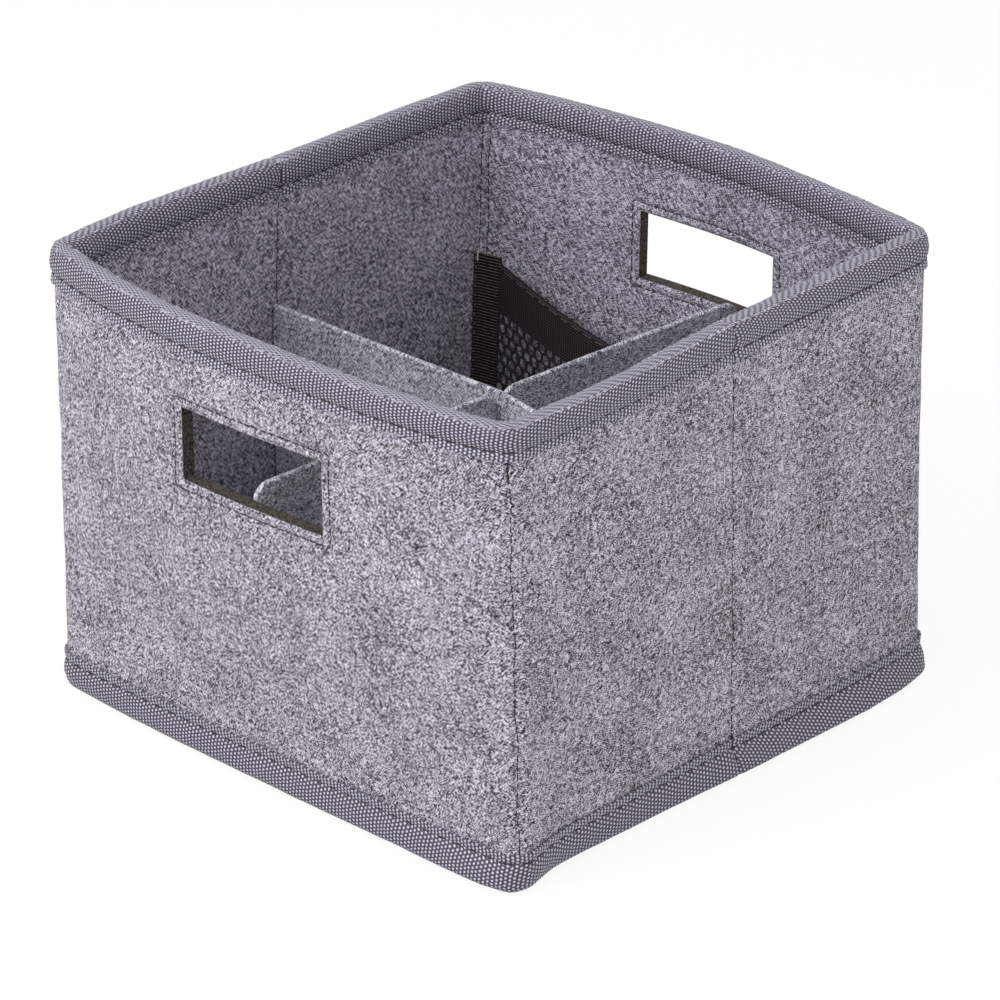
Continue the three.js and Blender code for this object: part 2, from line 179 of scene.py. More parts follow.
@dataclass(frozen=True)
class Quarter:
    """A quarter of the box's walls: half a handle wall, the corner and half of a creased wall."""

    name: str
    handle_side: Side
    crease_side: Side
    handle_body: str
    crease_body: str
    sign_x: int
    sign_y: int

    @property
    def blend_start(self) -> tuple[float, float, float]:
        """Where the corner begins to turn, in metres."""
        y = self.sign_y * (SIZES.hinge_y + SIZES.turn_radius)
        return self.sign_x * SIZES.hinge_x * MM, y * MM, 0.1

    @property
    def blend_end(self) -> tuple[float, float, float]:
        """Where the corner has turned to the creased wall, in metres."""
        x = self.sign_x * (SIZES.hinge_x + SIZES.turn_radius)
        return x * MM, self.sign_y * SIZES.hinge_y * MM, 0.1

    @property
    def ahead(self) -> int:
        """The sign of the way round the box from the handle wall's middle to the corner."""
        return 1 if (self.sign_x > 0) == (self.handle_side is Side.FRONT) else -1

    def span(self, plan: "WallPlan", crease_gap: float) -> tuple[float, float]:
        """Distances round the box of the quarter's two ends.

        Args:
            plan: the walls' plan.
            crease_gap: how far the quarter stops short of the crease.

        Returns:
            The lower and the higher distance.
        """
        middle = plan.along(self.handle_side, 0.0)
        crease = plan.along(self.crease_side, self.sign_y * crease_gap)
        if abs(crease - middle) > SIZES.around / 2:
            middle += SIZES.around if crease > middle else -SIZES.around
        return min(middle, crease), max(middle, crease)


QUARTERS = (
    Quarter("front_right", Side.FRONT, Side.RIGHT, "front_wall", "right_front_half", 1, -1),
    Quarter("rear_right", Side.REAR, Side.RIGHT, "rear_wall", "right_rear_half", 1, 1),
    Quarter("rear_left", Side.REAR, Side.LEFT, "rear_wall", "left_rear_half", -1, 1),
    Quarter("front_left", Side.FRONT, Side.LEFT, "front_wall", "left_front_half", -1, -1),
)


def ripple(distance: np.ndarray, seed: int, lowest: int = 9) -> np.ndarray:
    """Gentle unevenness that closes on itself round the box, from about -1 to 1.

    Args:
        distance: distances round the box.
        seed: picks one of the many ripples.
        lowest: waves round the box in the longest ripple.

    Returns:
        One value for each distance.
    """
    draw = np.random.default_rng(seed)
    total = np.zeros_like(np.asarray(distance, float))
    for step in RIPPLE_STEPS:
        waves = round(lowest * step)
        phase = draw.uniform(0, 2 * math.pi)
        total += np.sin(2 * math.pi * waves * np.asarray(distance) / SIZES.around + phase)
    return total / RIPPLE_MOST


def hollows(distance: np.ndarray, height: np.ndarray, seed: int) -> np.ndarray:
    """Soft lumps and hollows over a felt wall, from about -1 to 1.

    Args:
        distance: distances round the box.
        height: levels.
        seed: picks one pattern.

    Returns:
        One value for each place.
    """
    draw = np.random.default_rng(seed)
    total = np.zeros_like(distance + height)
    for _ in range(HOLLOW_WAVES):
        waves = draw.integers(*HOLLOW_COUNTS)
        rise = draw.uniform(-HOLLOW_RISE, HOLLOW_RISE)
        phase = draw.uniform(0, 2 * math.pi)
        total += np.sin(2 * math.pi * waves * distance / SIZES.around + rise * height + phase)
    return total / HOLLOW_MOST


class WallPlan:
    """The middle line of the walls in plan, level by level, with the slump of a hand-sewn box."""

    levels = 24
    sag_from = 208.0
    bow_ease = 2.2
    slump_ease = 9.0
    sag_ease = 4.0

    def __init__(self, slump: SideTable, sag: SideTable) -> None:
        """Works out the line at each level.

        Args:
            slump: shifts along x and y at the base, half way up and at the rim, by place along each wall.
            sag: how far the rim sags, by place along each wall.
        """
        self.count = int(SIZES.around)
        self.step = SIZES.around / self.count
        self.heights = np.linspace(0.0, SIZES.height, self.levels)
        self.middles = {side: side.value * SIZES.apart for side in Side}
        distance = np.arange(self.count) * self.step
        points, normals = self._flat_line(distance)
        shifts = self._smooth(self.between(slump, distance), self.slump_ease).reshape(-1, 3, 2)
        lines = []
        for height in self.heights:
            bowed = points + normals * self._bow(points, normals, height)[:, None]
            share = height / SIZES.height
            weights = ((1 - share) * (1 - 2 * share), 4 * share * (1 - share), share * (2 * share - 1))
            lines.append(self._smooth(bowed, self.bow_ease) + np.einsum("k,nkc->nc", weights, shifts))
        self.lines = np.array(lines)
        self.sag = self._smooth(self.between(sag, distance)[:, 0], self.sag_ease)
        ahead = np.roll(self.lines, -1, axis=1) - np.roll(self.lines, 1, axis=1)
        ahead /= np.linalg.norm(ahead, axis=2, keepdims=True)
        self.normals = np.stack([ahead[..., 1], -ahead[..., 0]], axis=2)

    def _flat_line(self, distance: np.ndarray) -> tuple[np.ndarray, np.ndarray]:
        """The unbowed middle line: a rectangle with round corners.

        Args:
            distance: distances round the box.

        Returns:
            The points and the outward normals.
        """
        points = np.zeros((len(distance), 2))
        normals = np.zeros((len(distance), 2))
        for side in Side:
            angle = (side.value - 1) * math.pi / 2
            ahead = np.array([-math.sin(angle), math.cos(angle)])
            out = np.array([math.cos(angle), math.sin(angle)])
            reach = SIZES.half(side)
            away = SIZES.hinge_y if side.has_handle else SIZES.hinge_x
            along = way_from(distance, self.middles[side])
            straight = np.abs(along) <= reach
            points[straight] = ahead * along[straight, None] + out * (away + SIZES.turn_radius)
            normals[straight] = out
            turning = (along > reach) & (along < reach + SIZES.turn_length)
            turned = (along[turning, None] - reach) / SIZES.turn_radius
            normals[turning] = out * np.cos(turned) + ahead * np.sin(turned)
            points[turning] = ahead * reach + out * away + normals[turning] * SIZES.turn_radius
        return points, normals

    @staticmethod
    def _bow(points: np.ndarray, normals: np.ndarray, height: float) -> np.ndarray:
        """Outward bow of the handle walls at a level, and none on the creased walls.

        Args:
            points: the middle line.
            normals: its outward normals.
            height: the level.

        Returns:
            The outward amount at each point.
        """
        ease = 0.5 - 0.5 * math.cos(math.pi * min(height / SIZES.bow_full_height, 1.0))
        most = SIZES.bow_at_base + (SIZES.bow_at_rim - SIZES.bow_at_base) * ease
        share = np.clip(1 - (points[:, 0] / SIZES.hinge_x) ** 2, 0, 1)
        return np.where(np.abs(normals[:, 1]) > 0.999, share * most, 0.0)

    @staticmethod
    def _smooth(line: np.ndarray, width: float) -> np.ndarray:
        """Rounds the kinks of a closed line.

        Args:
            line: points about a millimetre apart.
            width: the spread of the smoothing, in points.

        Returns:
            The smoothed line.
        """
        reach = math.ceil(3 * width)
        shifts = range(-reach, reach + 1)
        weights = [math.exp(-0.5 * (k / width) ** 2) for k in shifts]
        return sum(np.roll(line, k, axis=0) * w for k, w in zip(shifts, weights)) / sum(weights)

    def between(self, table: SideTable, distance: np.ndarray) -> np.ndarray:
        """Reads a table of the walls between its places.

        Args:
            table: for each wall, rows of a place along it and the values there.
            distance: distances round the box.

        Returns:
            A row of values for each distance.
        """
        rows = np.array(sorted((self.along(side, place) % SIZES.around, *values)
                               for side, known in table.items() for place, *values in known))
        return np.stack([np.interp(distance, rows[:, 0], values, period=SIZES.around)
                         for values in rows.T[1:]], axis=-1)

    def along(self, side: Side, place: float) -> float:
        """Distance round the box of a place on a wall.

        Args:
            side: the wall.
            place: x on a handle wall, y on a creased wall.

        Returns:
            The distance round the box, in millimetres.
        """
        ahead = 1 if side in (Side.FRONT, Side.RIGHT) else -1
        return self.middles[side] + ahead * place

    def place(self, distance: np.ndarray, height: np.ndarray, depth: np.ndarray) -> np.ndarray:
        """Points at a distance round the box, a level and a depth outwards from the wall's middle.

        Args:
            distance: distances round the box.
            height: levels.
            depth: depths, positive outwards.

        Returns:
            The points, in millimetres, in an array one axis longer than the arguments.
        """
        distance, height, depth = np.broadcast_arrays(distance, height, depth)
        turn = distance / self.step
        first = np.floor(turn).astype(int)
        across = (turn - first)[..., None]
        rise = np.clip(height / SIZES.height, 0, 1) * (len(self.heights) - 1)
        below = np.minimum(rise.astype(int), len(self.heights) - 2)
        upward = (rise - below)[..., None]
        here, there = first % self.count, (first + 1) % self.count

        def mixed(table: np.ndarray) -> np.ndarray:
            """Reads a table of the plan between its points."""
            low = table[below, here] * (1 - across) + table[below, there] * across
            high = table[below + 1, here] * (1 - across) + table[below + 1, there] * across
            return low * (1 - upward) + high * upward

        normal = mixed(self.normals)
        normal /= np.linalg.norm(normal, axis=-1, keepdims=True)
        flat = mixed(self.lines) + normal * depth[..., None]
        near_rim = np.clip((height - self.sag_from) / (SIZES.height - self.sag_from), 0, 1)
        drop = (self.sag[here] * (1 - across[..., 0]) + self.sag[there] * across[..., 0]) * near_rim
        return np.concatenate([flat, (height - drop)[..., None]], axis=-1)

    def facing(self, distance: np.ndarray, height: np.ndarray) -> np.ndarray:
        """Outward level normals of the walls.

        Args:
            distance: distances round the box.
            height: levels.

        Returns:
            Unit vectors, in an array one axis longer than the arguments.
        """
        step = self.place(distance, height, 1.0) - self.place(distance, height, 0.0)
        return step / np.linalg.norm(step, axis=-1, keepdims=True)


def spaced(low: float, high: float, exact: Sequence[float], fine: Sequence[float],
           coarse_step: float, fine_step: float, fine_reach: float, probes: int = 400) -> np.ndarray:
    """Places from low to high, close together near some of them and with some met exactly.

    Args:
        low: the first place.
        high: the last place.
        exact: places that the list has to hold.
        fine: places near which the steps are fine.
        coarse_step: step away from them.
        fine_step: step near them.
        fine_reach: how far the fine steps reach.
        probes: at how many places the step is worked out.

    Returns:
        The places in order.
    """
    stops = sorted({low, high, *[p for p in exact if low < p < high]})
    probe = np.linspace(0, 1, probes)
    found = [np.array([stops[0]])]
    for start, end in zip(stops, stops[1:]):
        at = start + (end - start) * probe
        nearest = np.min([np.abs(at - p) for p in fine], axis=0) if fine else np.full_like(at, 1e9)
        step = np.clip(fine_step + (nearest - fine_reach) * 0.4, fine_step, coarse_step)
        passed = np.concatenate([[0], np.cumsum((end - start) / (probes - 1) / step[1:])])
        count = max(1, math.ceil(passed[-1]))
        found.append(np.interp(np.linspace(0, passed[-1], count + 1)[1:], passed, at))
    return np.concatenate(found)


def grid_faces(rows: int, columns: int, kept: np.ndarray) -> list[tuple[int, ...]]:
    """Faces of a closed solid between two grids of points, with a wall round each missing cell.

    Args:
        rows: points in the grid's first direction.
        columns: points in its second.
        kept: which cells are there, rows - 1 by columns - 1.

    Returns:
        Four-cornered faces that index the front grid and then the back grid.
    """
    back = rows * columns
    faces: list[tuple[int, ...]] = []
    padded = np.zeros((rows + 1, columns + 1), bool)
    padded[1:-1, 1:-1] = kept
    for i in range(rows - 1):
        for j in range(columns - 1):
            if not kept[i, j]:
                continue
            a = i * columns + j
            b, c, d = a + columns, a + columns + 1, a + 1
            faces.append((a, b, c, d))
            faces.append((back + a, back + d, back + c, back + b))
            for open_side, p, q in (
                (not padded[i + 1, j], b, a),
                (not padded[i + 2, j + 1], c, b),
                (not padded[i + 1, j + 2], d, c),
                (not padded[i, j + 1], a, d),
            ):
                if open_side:
                    faces.append((p, q, back + q, back + p))
    return faces


def add_node(tree: bpy.types.NodeTree, kind: str,
             inputs: Mapping[str | int, object] | None = None, **settings: object) -> bpy.types.Node:
    """Adds a node to a tree with its settings and its links.

    Args:
        tree: a material's or a modifier's tree.
        kind: the node's type.
        inputs: a value, a socket, or a node whose first output is meant, by the input's name or number.
        **settings: the node's own properties.

    Returns:
        The node.
    """
    node = tree.nodes.new(kind)
    for key, value in settings.items():
        setattr(node, key, value)
    for key, value in (inputs or {}).items():
        source = value.outputs[0] if isinstance(value, bpy.types.Node) else value
        if isinstance(source, bpy.types.NodeSocket):
            tree.links.new(source, node.inputs[key])
        else:
            node.inputs[key].default_value = source
    return node


def linear(hex_colour: str) -> tuple[float, float, float, float]:
    """Turns an sRGB hex colour to the linear values that a shader takes.

    Args:
        hex_colour: a colour such as "#8f8d94".

    Returns:
        Red, green, blue and alpha.
    """
    parts = [int(hex_colour[i:i + 2], 16) / 255 for i in (1, 3, 5)]
    red, green, blue = (c / 12.92 if c <= 0.04045 else ((c + 0.055) / 1.055) ** 2.4 for c in parts)
    return red, green, blue, 1.0


@dataclass(frozen=True)
class Finish:
    """What a stuff looks like: its name and the nodes that shade it."""

    name: str

    def material(self) -> bpy.types.Material:
        """Builds the material, or gives the one that was built before."""
        label = f"{self.name}_finish"
        known = bpy.data.materials.get(label)
        if known:
            return known
        made = bpy.data.materials.new(label)
        made.use_nodes = True
        made.node_tree.nodes.clear()
        add = partial(add_node, made.node_tree)
        add("ShaderNodeOutputMaterial", {"Surface": self._shade(add)})
        return made

    def _shade(self, add: NodeAdder) -> bpy.types.Node:
        """Builds the nodes, each kind of stuff its own, and gives the shader."""
        raise NotImplementedError

    @staticmethod
    def _cloth(add: NodeAdder) -> bpy.types.Node:
        """Adds the place on the flat cloth, in millimetres."""
        cloth = add("ShaderNodeUVMap", uv_map=UV_NAME)
        return add("ShaderNodeVectorMath", {0: cloth, "Scale": 1 / MM}, operation="SCALE")

    @staticmethod
    def _wave(add: NodeAdder, place: object, pitch: float, form: str = "SINE") -> bpy.types.Node:
        """Adds a wave from -1 to 1 along a place.

        Args:
            add: adds a node to the tree.
            place: the node or the socket that gives the place.
            pitch: the wave's length, in the place's unit.
            form: SINE or COSINE.

        Returns:
            The wave's node.
        """
        turned = add("ShaderNodeMath", {0: place, 1: 2 * math.pi / pitch}, operation="MULTIPLY")
        return add("ShaderNodeMath", {0: turned}, operation=form)

    @staticmethod
    def _two_shade(add: NodeAdder, share: object, shades: tuple[str, str], relief: object, depth: float,
                   strength: float, roughness: float, gloss: float, sheen: float = 0.0) -> bpy.types.Node:
        """Adds a shader that mixes two shades and has a fine relief.

        Args:
            add: adds a node to the tree.
            share: what gives the second shade's share.
            shades: two hex colours.
            relief: what gives the relief's height.
            depth: the relief's depth, in millimetres.
            strength: how strongly the relief shows.
            roughness: the shader's roughness.
            gloss: its specular level.
            sheen: its sheen.

        Returns:
            The shader.
        """
        first, second = (linear(shade) for shade in shades)
        colour = add("ShaderNodeMix", {0: share, 6: first, 7: second}, data_type="RGBA")
        bump = add("ShaderNodeBump", {"Height": relief, "Strength": strength, "Distance": depth * MM})
        return add("ShaderNodeBsdfPrincipled",
                   {"Base Color": colour.outputs[2], "Roughness": roughness, "Specular IOR Level": gloss,
                    "Sheen Weight": sheen, "Normal": bump})


@dataclass(frozen=True)
class Felt(Finish):
    """Needle-punched polyester felt: short straight fibres of two shades, matted in all directions.

    To the eye it is a soft heather speckle with fine criss-cross strokes and cloudy darker patches.
    """

    light: str
    middle: str
    dark: str
    fibre_long: float = 2.1
    fibre_wide: float = 0.4
    lays: tuple[tuple[float, float], ...] = ((52.0, 1.0), (-27.0, 0.8))
    curl: float = 2.5
    curl_wave: float = 9.0
    mottle: float = 4.0
    mottle_share: float = 0.3
    cloud: float = 30.0
    cloud_share: float = 0.4
    contrast: float = 0.2
    relief: float = 0.5

    def _shade(self, add: NodeAdder) -> bpy.types.Node:
        """Builds the nodes: two lays of strokes over patches and clouds, read off three shades."""
        flat = self._cloth(add)
        flow = add("ShaderNodeTexNoise", {"Vector": flat, "Scale": 1 / self.curl_wave, "Detail": 1.0})
        shift = add("ShaderNodeVectorMath", {0: flow.outputs["Color"], 1: (0.5,) * 3}, operation="SUBTRACT")
        bent = add("ShaderNodeVectorMath", {0: shift, 1: (self.curl,) * 3, 2: flat}, operation="MULTIPLY_ADD")
        layers = []
        for turn, stretch in self.lays:
            lay = add("ShaderNodeMapping",
                      {"Vector": bent, "Rotation": (0, 0, math.radians(turn)), "Location": (turn, 0, turn),
                       "Scale": (self.fibre_long * stretch, self.fibre_wide, 1)}, vector_type="TEXTURE")
            layers.append(add("ShaderNodeTexNoise",
                              {"Vector": lay, "Scale": 1.0, "Detail": 2.0, "Roughness": 0.6}))
        strokes = add("ShaderNodeMath", {0: layers[0], 1: layers[1]}, operation="ADD")
        patches = add("ShaderNodeTexNoise",
                      {"Vector": flat, "Scale": 1 / self.mottle, "Detail": 2.0, "Roughness": 0.6})
        clouds = add("ShaderNodeTexNoise", {"Vector": flat, "Scale": 1 / self.cloud, "Detail": 1.0})
        uneven = add("ShaderNodeMath", {0: clouds, 1: self.cloud_share, 2: patches}, operation="MULTIPLY_ADD")
        depth = add("ShaderNodeMath", {0: uneven, 1: self.mottle_share, 2: strokes}, operation="MULTIPLY_ADD")
        centre = 1 + (1 + self.cloud_share) / 2 * self.mottle_share
        tone = add("ShaderNodeMapRange", {"Value": depth, "From Min": centre - self.contrast / 2,
                                          "From Max": centre + self.contrast / 2})
        ramp = add("ShaderNodeValToRGB", {"Fac": tone})
        stops = ramp.color_ramp.elements
        stops.new(0.5)
        for stop, shade in zip(stops, (self.dark, self.middle, self.light)):
            stop.color = linear(shade)
        bump = add("ShaderNodeBump", {"Height": depth, "Strength": 0.6, "Distance": self.relief * MM})
        return add("ShaderNodeBsdfPrincipled",
                   {"Base Color": ramp, "Roughness": 0.95, "Sheen Weight": 0.1, "Sheen Roughness": 0.6,
                    "Specular IOR Level": 0.2, "Normal": bump})


@dataclass(frozen=True)
class BindingTape(Finish):
    """Woven polyester binding tape: bright weft floats in staggered columns on a dark slate ground.

    To the eye it is rows of small bright dots, which close up to a paler cloth with dark ticks over the fold.
    """

    float_colour: str = "#cac8d8"
    ground: str = "#453e4c"
    column_pitch: float = 2.17
    float_pitch: float = 1.65
    float_edges: tuple[float, float] = (-0.45, 0.55)
    roundness: float = 1.6
    wander: float = 1.2
    wander_wave: float = 9.0
    lip: float = 3.8
    lip_ease: float = 0.7
    lip_fill: float = 0.35
    fold_place: float = 21.5
    fold_reach: float = 3.6
    fold_ease: float = 1.4

    def _shade(self, add: NodeAdder) -> bpy.types.Node:
        """Builds the nodes: a lattice of floats, fuller along the free edge and closed over the fold."""
        flat = self._cloth(add)
        drift = add("ShaderNodeTexNoise", {"Vector": flat, "Scale": 1 / self.wander_wave, "Detail": 1.0})
        eased = add("ShaderNodeVectorMath", {0: drift.outputs["Color"], 1: (self.wander, self.wander, 0.0),
                                             2: flat}, operation="MULTIPLY_ADD")
        parts = add("ShaderNodeSeparateXYZ", {0: eased})
        beside = self._wave(add, parts, 2 * self.column_pitch, "COSINE")
        ahead = self._wave(add, parts.outputs["Y"], self.float_pitch, "COSINE")
        lattice = add("ShaderNodeMath", {0: beside, 1: ahead}, operation="MULTIPLY")
        column = add("ShaderNodeMath", {0: beside, 1: beside}, operation="MULTIPLY")
        narrow = add("ShaderNodeMath", {0: column, 1: self.roundness, 2: lattice}, operation="MULTIPLY_ADD")
        uneven = add("ShaderNodeTexNoise", {"Vector": flat, "Scale": 1 / 1.3, "Detail": 2.0})
        raised = add("ShaderNodeMath", {0: uneven, 1: 0.8, 2: narrow}, operation="MULTIPLY_ADD")
        lip = add("ShaderNodeMapRange", {"Value": parts.outputs["Y"], "From Min": self.lip + self.lip_ease,
                                         "From Max": self.lip, "To Max": self.lip_fill})
        filled = add("ShaderNodeMath", {0: column, 1: lip, 2: raised}, operation="MULTIPLY_ADD")
        low, high = (self.roundness + edge for edge in self.float_edges)
        floats = add("ShaderNodeMapRange", {"Value": filled, "From Min": low, "From Max": high})
        away = add("ShaderNodeMath", {0: parts.outputs["Y"], 1: self.fold_place}, operation="SUBTRACT")
        near = add("ShaderNodeMath", {0: away}, operation="ABSOLUTE")
        fold = add("ShaderNodeMapRange", {"Value": near, "From Min": self.fold_reach,
                                          "From Max": self.fold_reach - self.fold_ease})
        closed = add("ShaderNodeMapRange",
                     {"Value": lattice, "From Min": -0.5, "From Max": 0.3, "To Max": 0.68})
        share = add("ShaderNodeMix", {0: fold, 2: floats, 3: closed}, data_type="FLOAT")
        return self._two_shade(add, share, (self.ground, self.float_colour), floats, depth=0.25,
                               strength=0.6, roughness=0.62, gloss=0.4, sheen=0.05)


@dataclass(frozen=True)
class Speckled(Finish):
    """A plain stuff with a fine two-shade speckle: pressed fibre board, spun thread or net yarn.

    The board looks like dark olive matted fibre with paler flecks, and the threads like fine twisted yarn.
    """

    light: str
    dark: str
    grain: float
    roughness: float = 0.85
    gloss: float = 0.3

    def _shade(self, add: NodeAdder) -> bpy.types.Node:
        """Builds the nodes: flecks of the light shade."""
        place = add("ShaderNodeTexCoord").outputs["Object"]
        flecks = add("ShaderNodeTexNoise", {"Vector": place, "Scale": 1 / (self.grain * MM), "Detail": 3.0,
                                            "Roughness": 0.65})
        share = add("ShaderNodeMapRange", {"Value": flecks, "From Min": 0.38, "From Max": 0.66})
        return self._two_shade(add, share, (self.dark, self.light), flecks, depth=0.3, strength=0.5,
                               roughness=self.roughness, gloss=self.gloss)


@dataclass(frozen=True)
class Webbing(Finish):
    """Black elastic webbing: fine ribs across the band, crossed by rows where the yarns dive.

    To the eye it is near black, with a fine warm-grey grid where the ribs catch the light; that grid is a
    painted highlight, set as the ribs' colour.
    """

    rib_highlight: str = "#4d4347"
    ground: str = "#090708"
    pitch: float = 1.75

    def _shade(self, add: NodeAdder) -> bpy.types.Node:
        """Builds the nodes: two sets of ribs, of which the higher shows."""
        parts = add("ShaderNodeSeparateXYZ", {0: self._cloth(add)})
        waves = [self._wave(add, parts.outputs[axis], self.pitch) for axis in "XY"]
        lattice = add("ShaderNodeMath", {0: waves[0], 1: waves[1]}, operation="MAXIMUM")
        # The higher ribs get the painted highlight colour over the black ground.
        share = add("ShaderNodeMapRange", {"Value": lattice, "From Min": 0.45, "From Max": 1.0})
        return self._two_shade(add, share, (self.ground, self.rib_highlight), share, depth=0.3, strength=0.7,
                               roughness=0.7, gloss=0.2)


@dataclass(frozen=True)
class Herringbone(Finish):
    """Black woven tape whose ribs run level up to a middle line and climb past it, like fish bones.

    To the eye the ribs are thin warm-grey strokes on black, a little uneven in strength; the warm grey is a
    painted highlight on the black ribs.
    """

    apex: float
    rib_highlight: str = "#73656a"
    ground: str = "#0b090a"
    rib_pitch: float = 1.65
    climb: float = 0.4

    def _shade(self, add: NodeAdder) -> bpy.types.Node:
        """Builds the nodes: ribs that climb past the middle line."""
        flat = self._cloth(add)
        parts = add("ShaderNodeSeparateXYZ", {0: flat})
        off = add("ShaderNodeMath", {0: parts, 1: self.apex}, operation="SUBTRACT")
        away = add("ShaderNodeMath", {0: off, 1: 0.0}, operation="MAXIMUM")
        leaned = add("ShaderNodeMath", {0: away, 1: -self.climb, 2: parts.outputs["Y"]},
                     operation="MULTIPLY_ADD")
        wave = self._wave(add, leaned, self.rib_pitch)
        uneven = add("ShaderNodeTexNoise", {"Vector": flat, "Scale": 1 / 2.5, "Detail": 2.0})
        raised = add("ShaderNodeMath", {0: uneven, 1: 1.2, 2: wave}, operation="MULTIPLY_ADD")
        # The raised ribs get the painted highlight colour over the black ground.
        share = add("ShaderNodeMapRange", {"Value": raised, "From Min": 0.95, "From Max": 1.65})
        return self._two_shade(add, share, (self.ground, self.rib_highlight), wave, depth=0.2, strength=0.7,
                               roughness=0.7, gloss=0.2)


WALL_FELT = Felt("wall_felt", "#e7e1ef", "#827c8a", "#242028")
LINING_FELT = Felt("lining_felt", "#dcd7e8", "#8f8a99", "#3d3943", fibre_long=3.2, fibre_wide=0.6,
                   contrast=0.31)
DIVIDER_FELT = Felt("divider_felt", "#f8f6ff", "#b3b2c1", "#484853", fibre_long=3.0, contrast=0.23)
SLATE_TAPE = BindingTape("binding_tape")
PRESSED_BOARD = Speckled("pressed_fibre_board", "#60564f", "#080707", 1.1)
DARK_THREAD = Speckled("brown_sewing_thread", "#453b40", "#221c20", 0.5, roughness=0.7)
PINK_THREAD = Speckled("pale_sewing_thread", "#b79fa0", "#6f5c60", 0.5, roughness=0.6)
WHITE_THREAD = Speckled("white_thread_end", "#f1edee", "#c9c2c4", 0.5, roughness=0.6)
NET_YARN = Speckled("net_yarn", "#3d373c", "#161416", 0.6, roughness=0.6)
BLACK_ELASTIC = Webbing("black_elastic")
WALL_NAP = Speckled("wall_felt_fibres", "#c9c4ce", "#6a656e", 2.0, roughness=0.9)
DIVIDER_NAP = Speckled("divider_felt_fibres", "#aaa5ae", "#6c6974", 2.0, roughness=0.9)


def new_object(name: str, mesh: bpy.types.Mesh, finish: bpy.types.Material | None) -> bpy.types.Object:
    """Puts a mesh in the scene under a name.

    Args:
        name: the piece's name.
        mesh: its mesh, in metres.
        finish: its material, or None where the mesh has one.

    Returns:
        The object, at the origin.
    """
    made = bpy.data.objects.new(name, mesh)
    mesh.name = name
    if finish is not None:
        mesh.materials.clear()
        mesh.materials.append(finish)
    bpy.context.scene.collection.objects.link(made)
    return made


def closed_sheet(name: str, finish: Finish, front: np.ndarray, back: np.ndarray, uv: np.ndarray,
                 kept: np.ndarray | None = None, across: float = 0.0) -> bpy.types.Object:
    """Makes a closed sheet between two grids of points, its faces outwards.

    Args:
        name: the piece's name.
        finish: its finish.
        front: the outer grid, rows by columns by 3, in millimetres.
        back: the inner grid.
        uv: places on the flat cloth, rows by columns by 2.
        kept: which cells are there, or all of them.
        across: how far the back's cloth is set off, so that the pattern runs on over a cut edge.

    Returns:
        The piece, with its smooth shading broken at the edges.
    """
    rows, columns = front.shape[:2]
    cells = np.ones((rows - 1, columns - 1), bool) if kept is None else kept
    used, faces = np.unique(grid_faces(rows, columns, cells), return_inverse=True)
    faces = faces.reshape(-1, 4)
    points = np.concatenate([front.reshape(-1, 3), back.reshape(-1, 3)])[used] * MM
    cloth = np.concatenate([uv.reshape(-1, 2), uv.reshape(-1, 2) + across])[used] * MM
    mesh = bpy.data.meshes.new(name)
    mesh.from_pydata(points.tolist(), [], faces.tolist())
    mesh.uv_layers.new(name=UV_NAME).data.foreach_set("uv", cloth[faces].astype(np.float32).ravel())
    a, b, c, d = (points[faces[:, corner]] for corner in range(4))
    if np.einsum("ij,ij->", a, np.cross(b, c) + np.cross(c, d)) < 0:
        mesh.flip_normals()
    mesh.shade_smooth()
    mesh.set_sharp_from_angle(angle=SHARP_ANGLE)
    mesh.validate()
    return new_object(name, mesh, finish.material())


class RepeatTree:
    """A Geometry Nodes tree with named inputs, run once on a mesh to make a plain mesh of its own."""

    def __init__(self, name: str) -> None:
        """Starts a tree with a mesh going in and a mesh coming out."""
        self.tree = bpy.data.node_groups.new(name, "GeometryNodeTree")
        self.add = partial(add_node, self.tree)
        for way in ("OUTPUT", "INPUT"):
            self.tree.interface.new_socket("Geometry", in_out=way, socket_type="NodeSocketGeometry")
        self.identifiers: dict[str, str] = {}
        self.entry = self.tree.nodes.new("NodeGroupInput")
        self._build()

    def size(self, name: str, value: float, kind: str = "NodeSocketFloat") -> bpy.types.NodeSocket:
        """Adds a named input.

        Args:
            name: the input's name.
            value: what it is where nothing else is set.
            kind: the socket's type.

        Returns:
            The socket that carries it inside the tree.
        """
        item = self.tree.interface.new_socket(name, in_out="INPUT", socket_type=kind)
        if kind != "NodeSocketMaterial":
            item.default_value = value
        self.identifiers[name] = item.identifier
        return self.entry.outputs[name]

    def _build(self) -> None:
        """Builds the nodes; each kind of repeat has its own."""
        raise NotImplementedError

    def finish(self, geometry: bpy.types.Node) -> None:
        """Ends the tree: instances become real, faces smooth and the finish is set.

        Args:
            geometry: what the tree has made.
        """
        real = self.add("GeometryNodeRealizeInstances", {0: geometry})
        smooth = self.add("GeometryNodeSetShadeSmooth", {0: real})
        dressed = self.add("GeometryNodeSetMaterial",
                           {0: smooth, "Material": self.size("Finish", 0.0, "NodeSocketMaterial")})
        self.add("NodeGroupOutput", {0: dressed})

    def run(self, name: str, source: bpy.types.Mesh, finish: Finish, **sizes: float) -> bpy.types.Object:
        """Runs the tree on a mesh and keeps the plain result.

        Args:
            name: the new piece's name.
            source: the mesh that goes in.
            finish: the finish of what is made.
            **sizes: values by the inputs' names, with _ for a space.

        Returns:
            The new object, at the origin, with no modifier.
        """
        carrier = bpy.data.objects.new(name + "_carrier", source)
        bpy.context.scene.collection.objects.link(carrier)
        modifier = carrier.modifiers.new("repeat", "NODES")
        modifier.node_group = self.tree
        for key, value in sizes.items():
            modifier[self.identifiers[key.replace("_", " ")]] = value
        modifier[self.identifiers["Finish"]] = finish.material()
        graph = bpy.context.evaluated_depsgraph_get()
        mesh = bpy.data.meshes.new_from_object(carrier.evaluated_get(graph))
        bpy.data.objects.remove(carrier)
        mesh.validate()
        return new_object(name, mesh, None)


@dataclass(frozen=True)
class Stitch:
    """The size of a stitch and the step from one to the next, in millimetres."""

    pitch: float
    length: float
    width: float
    height: float


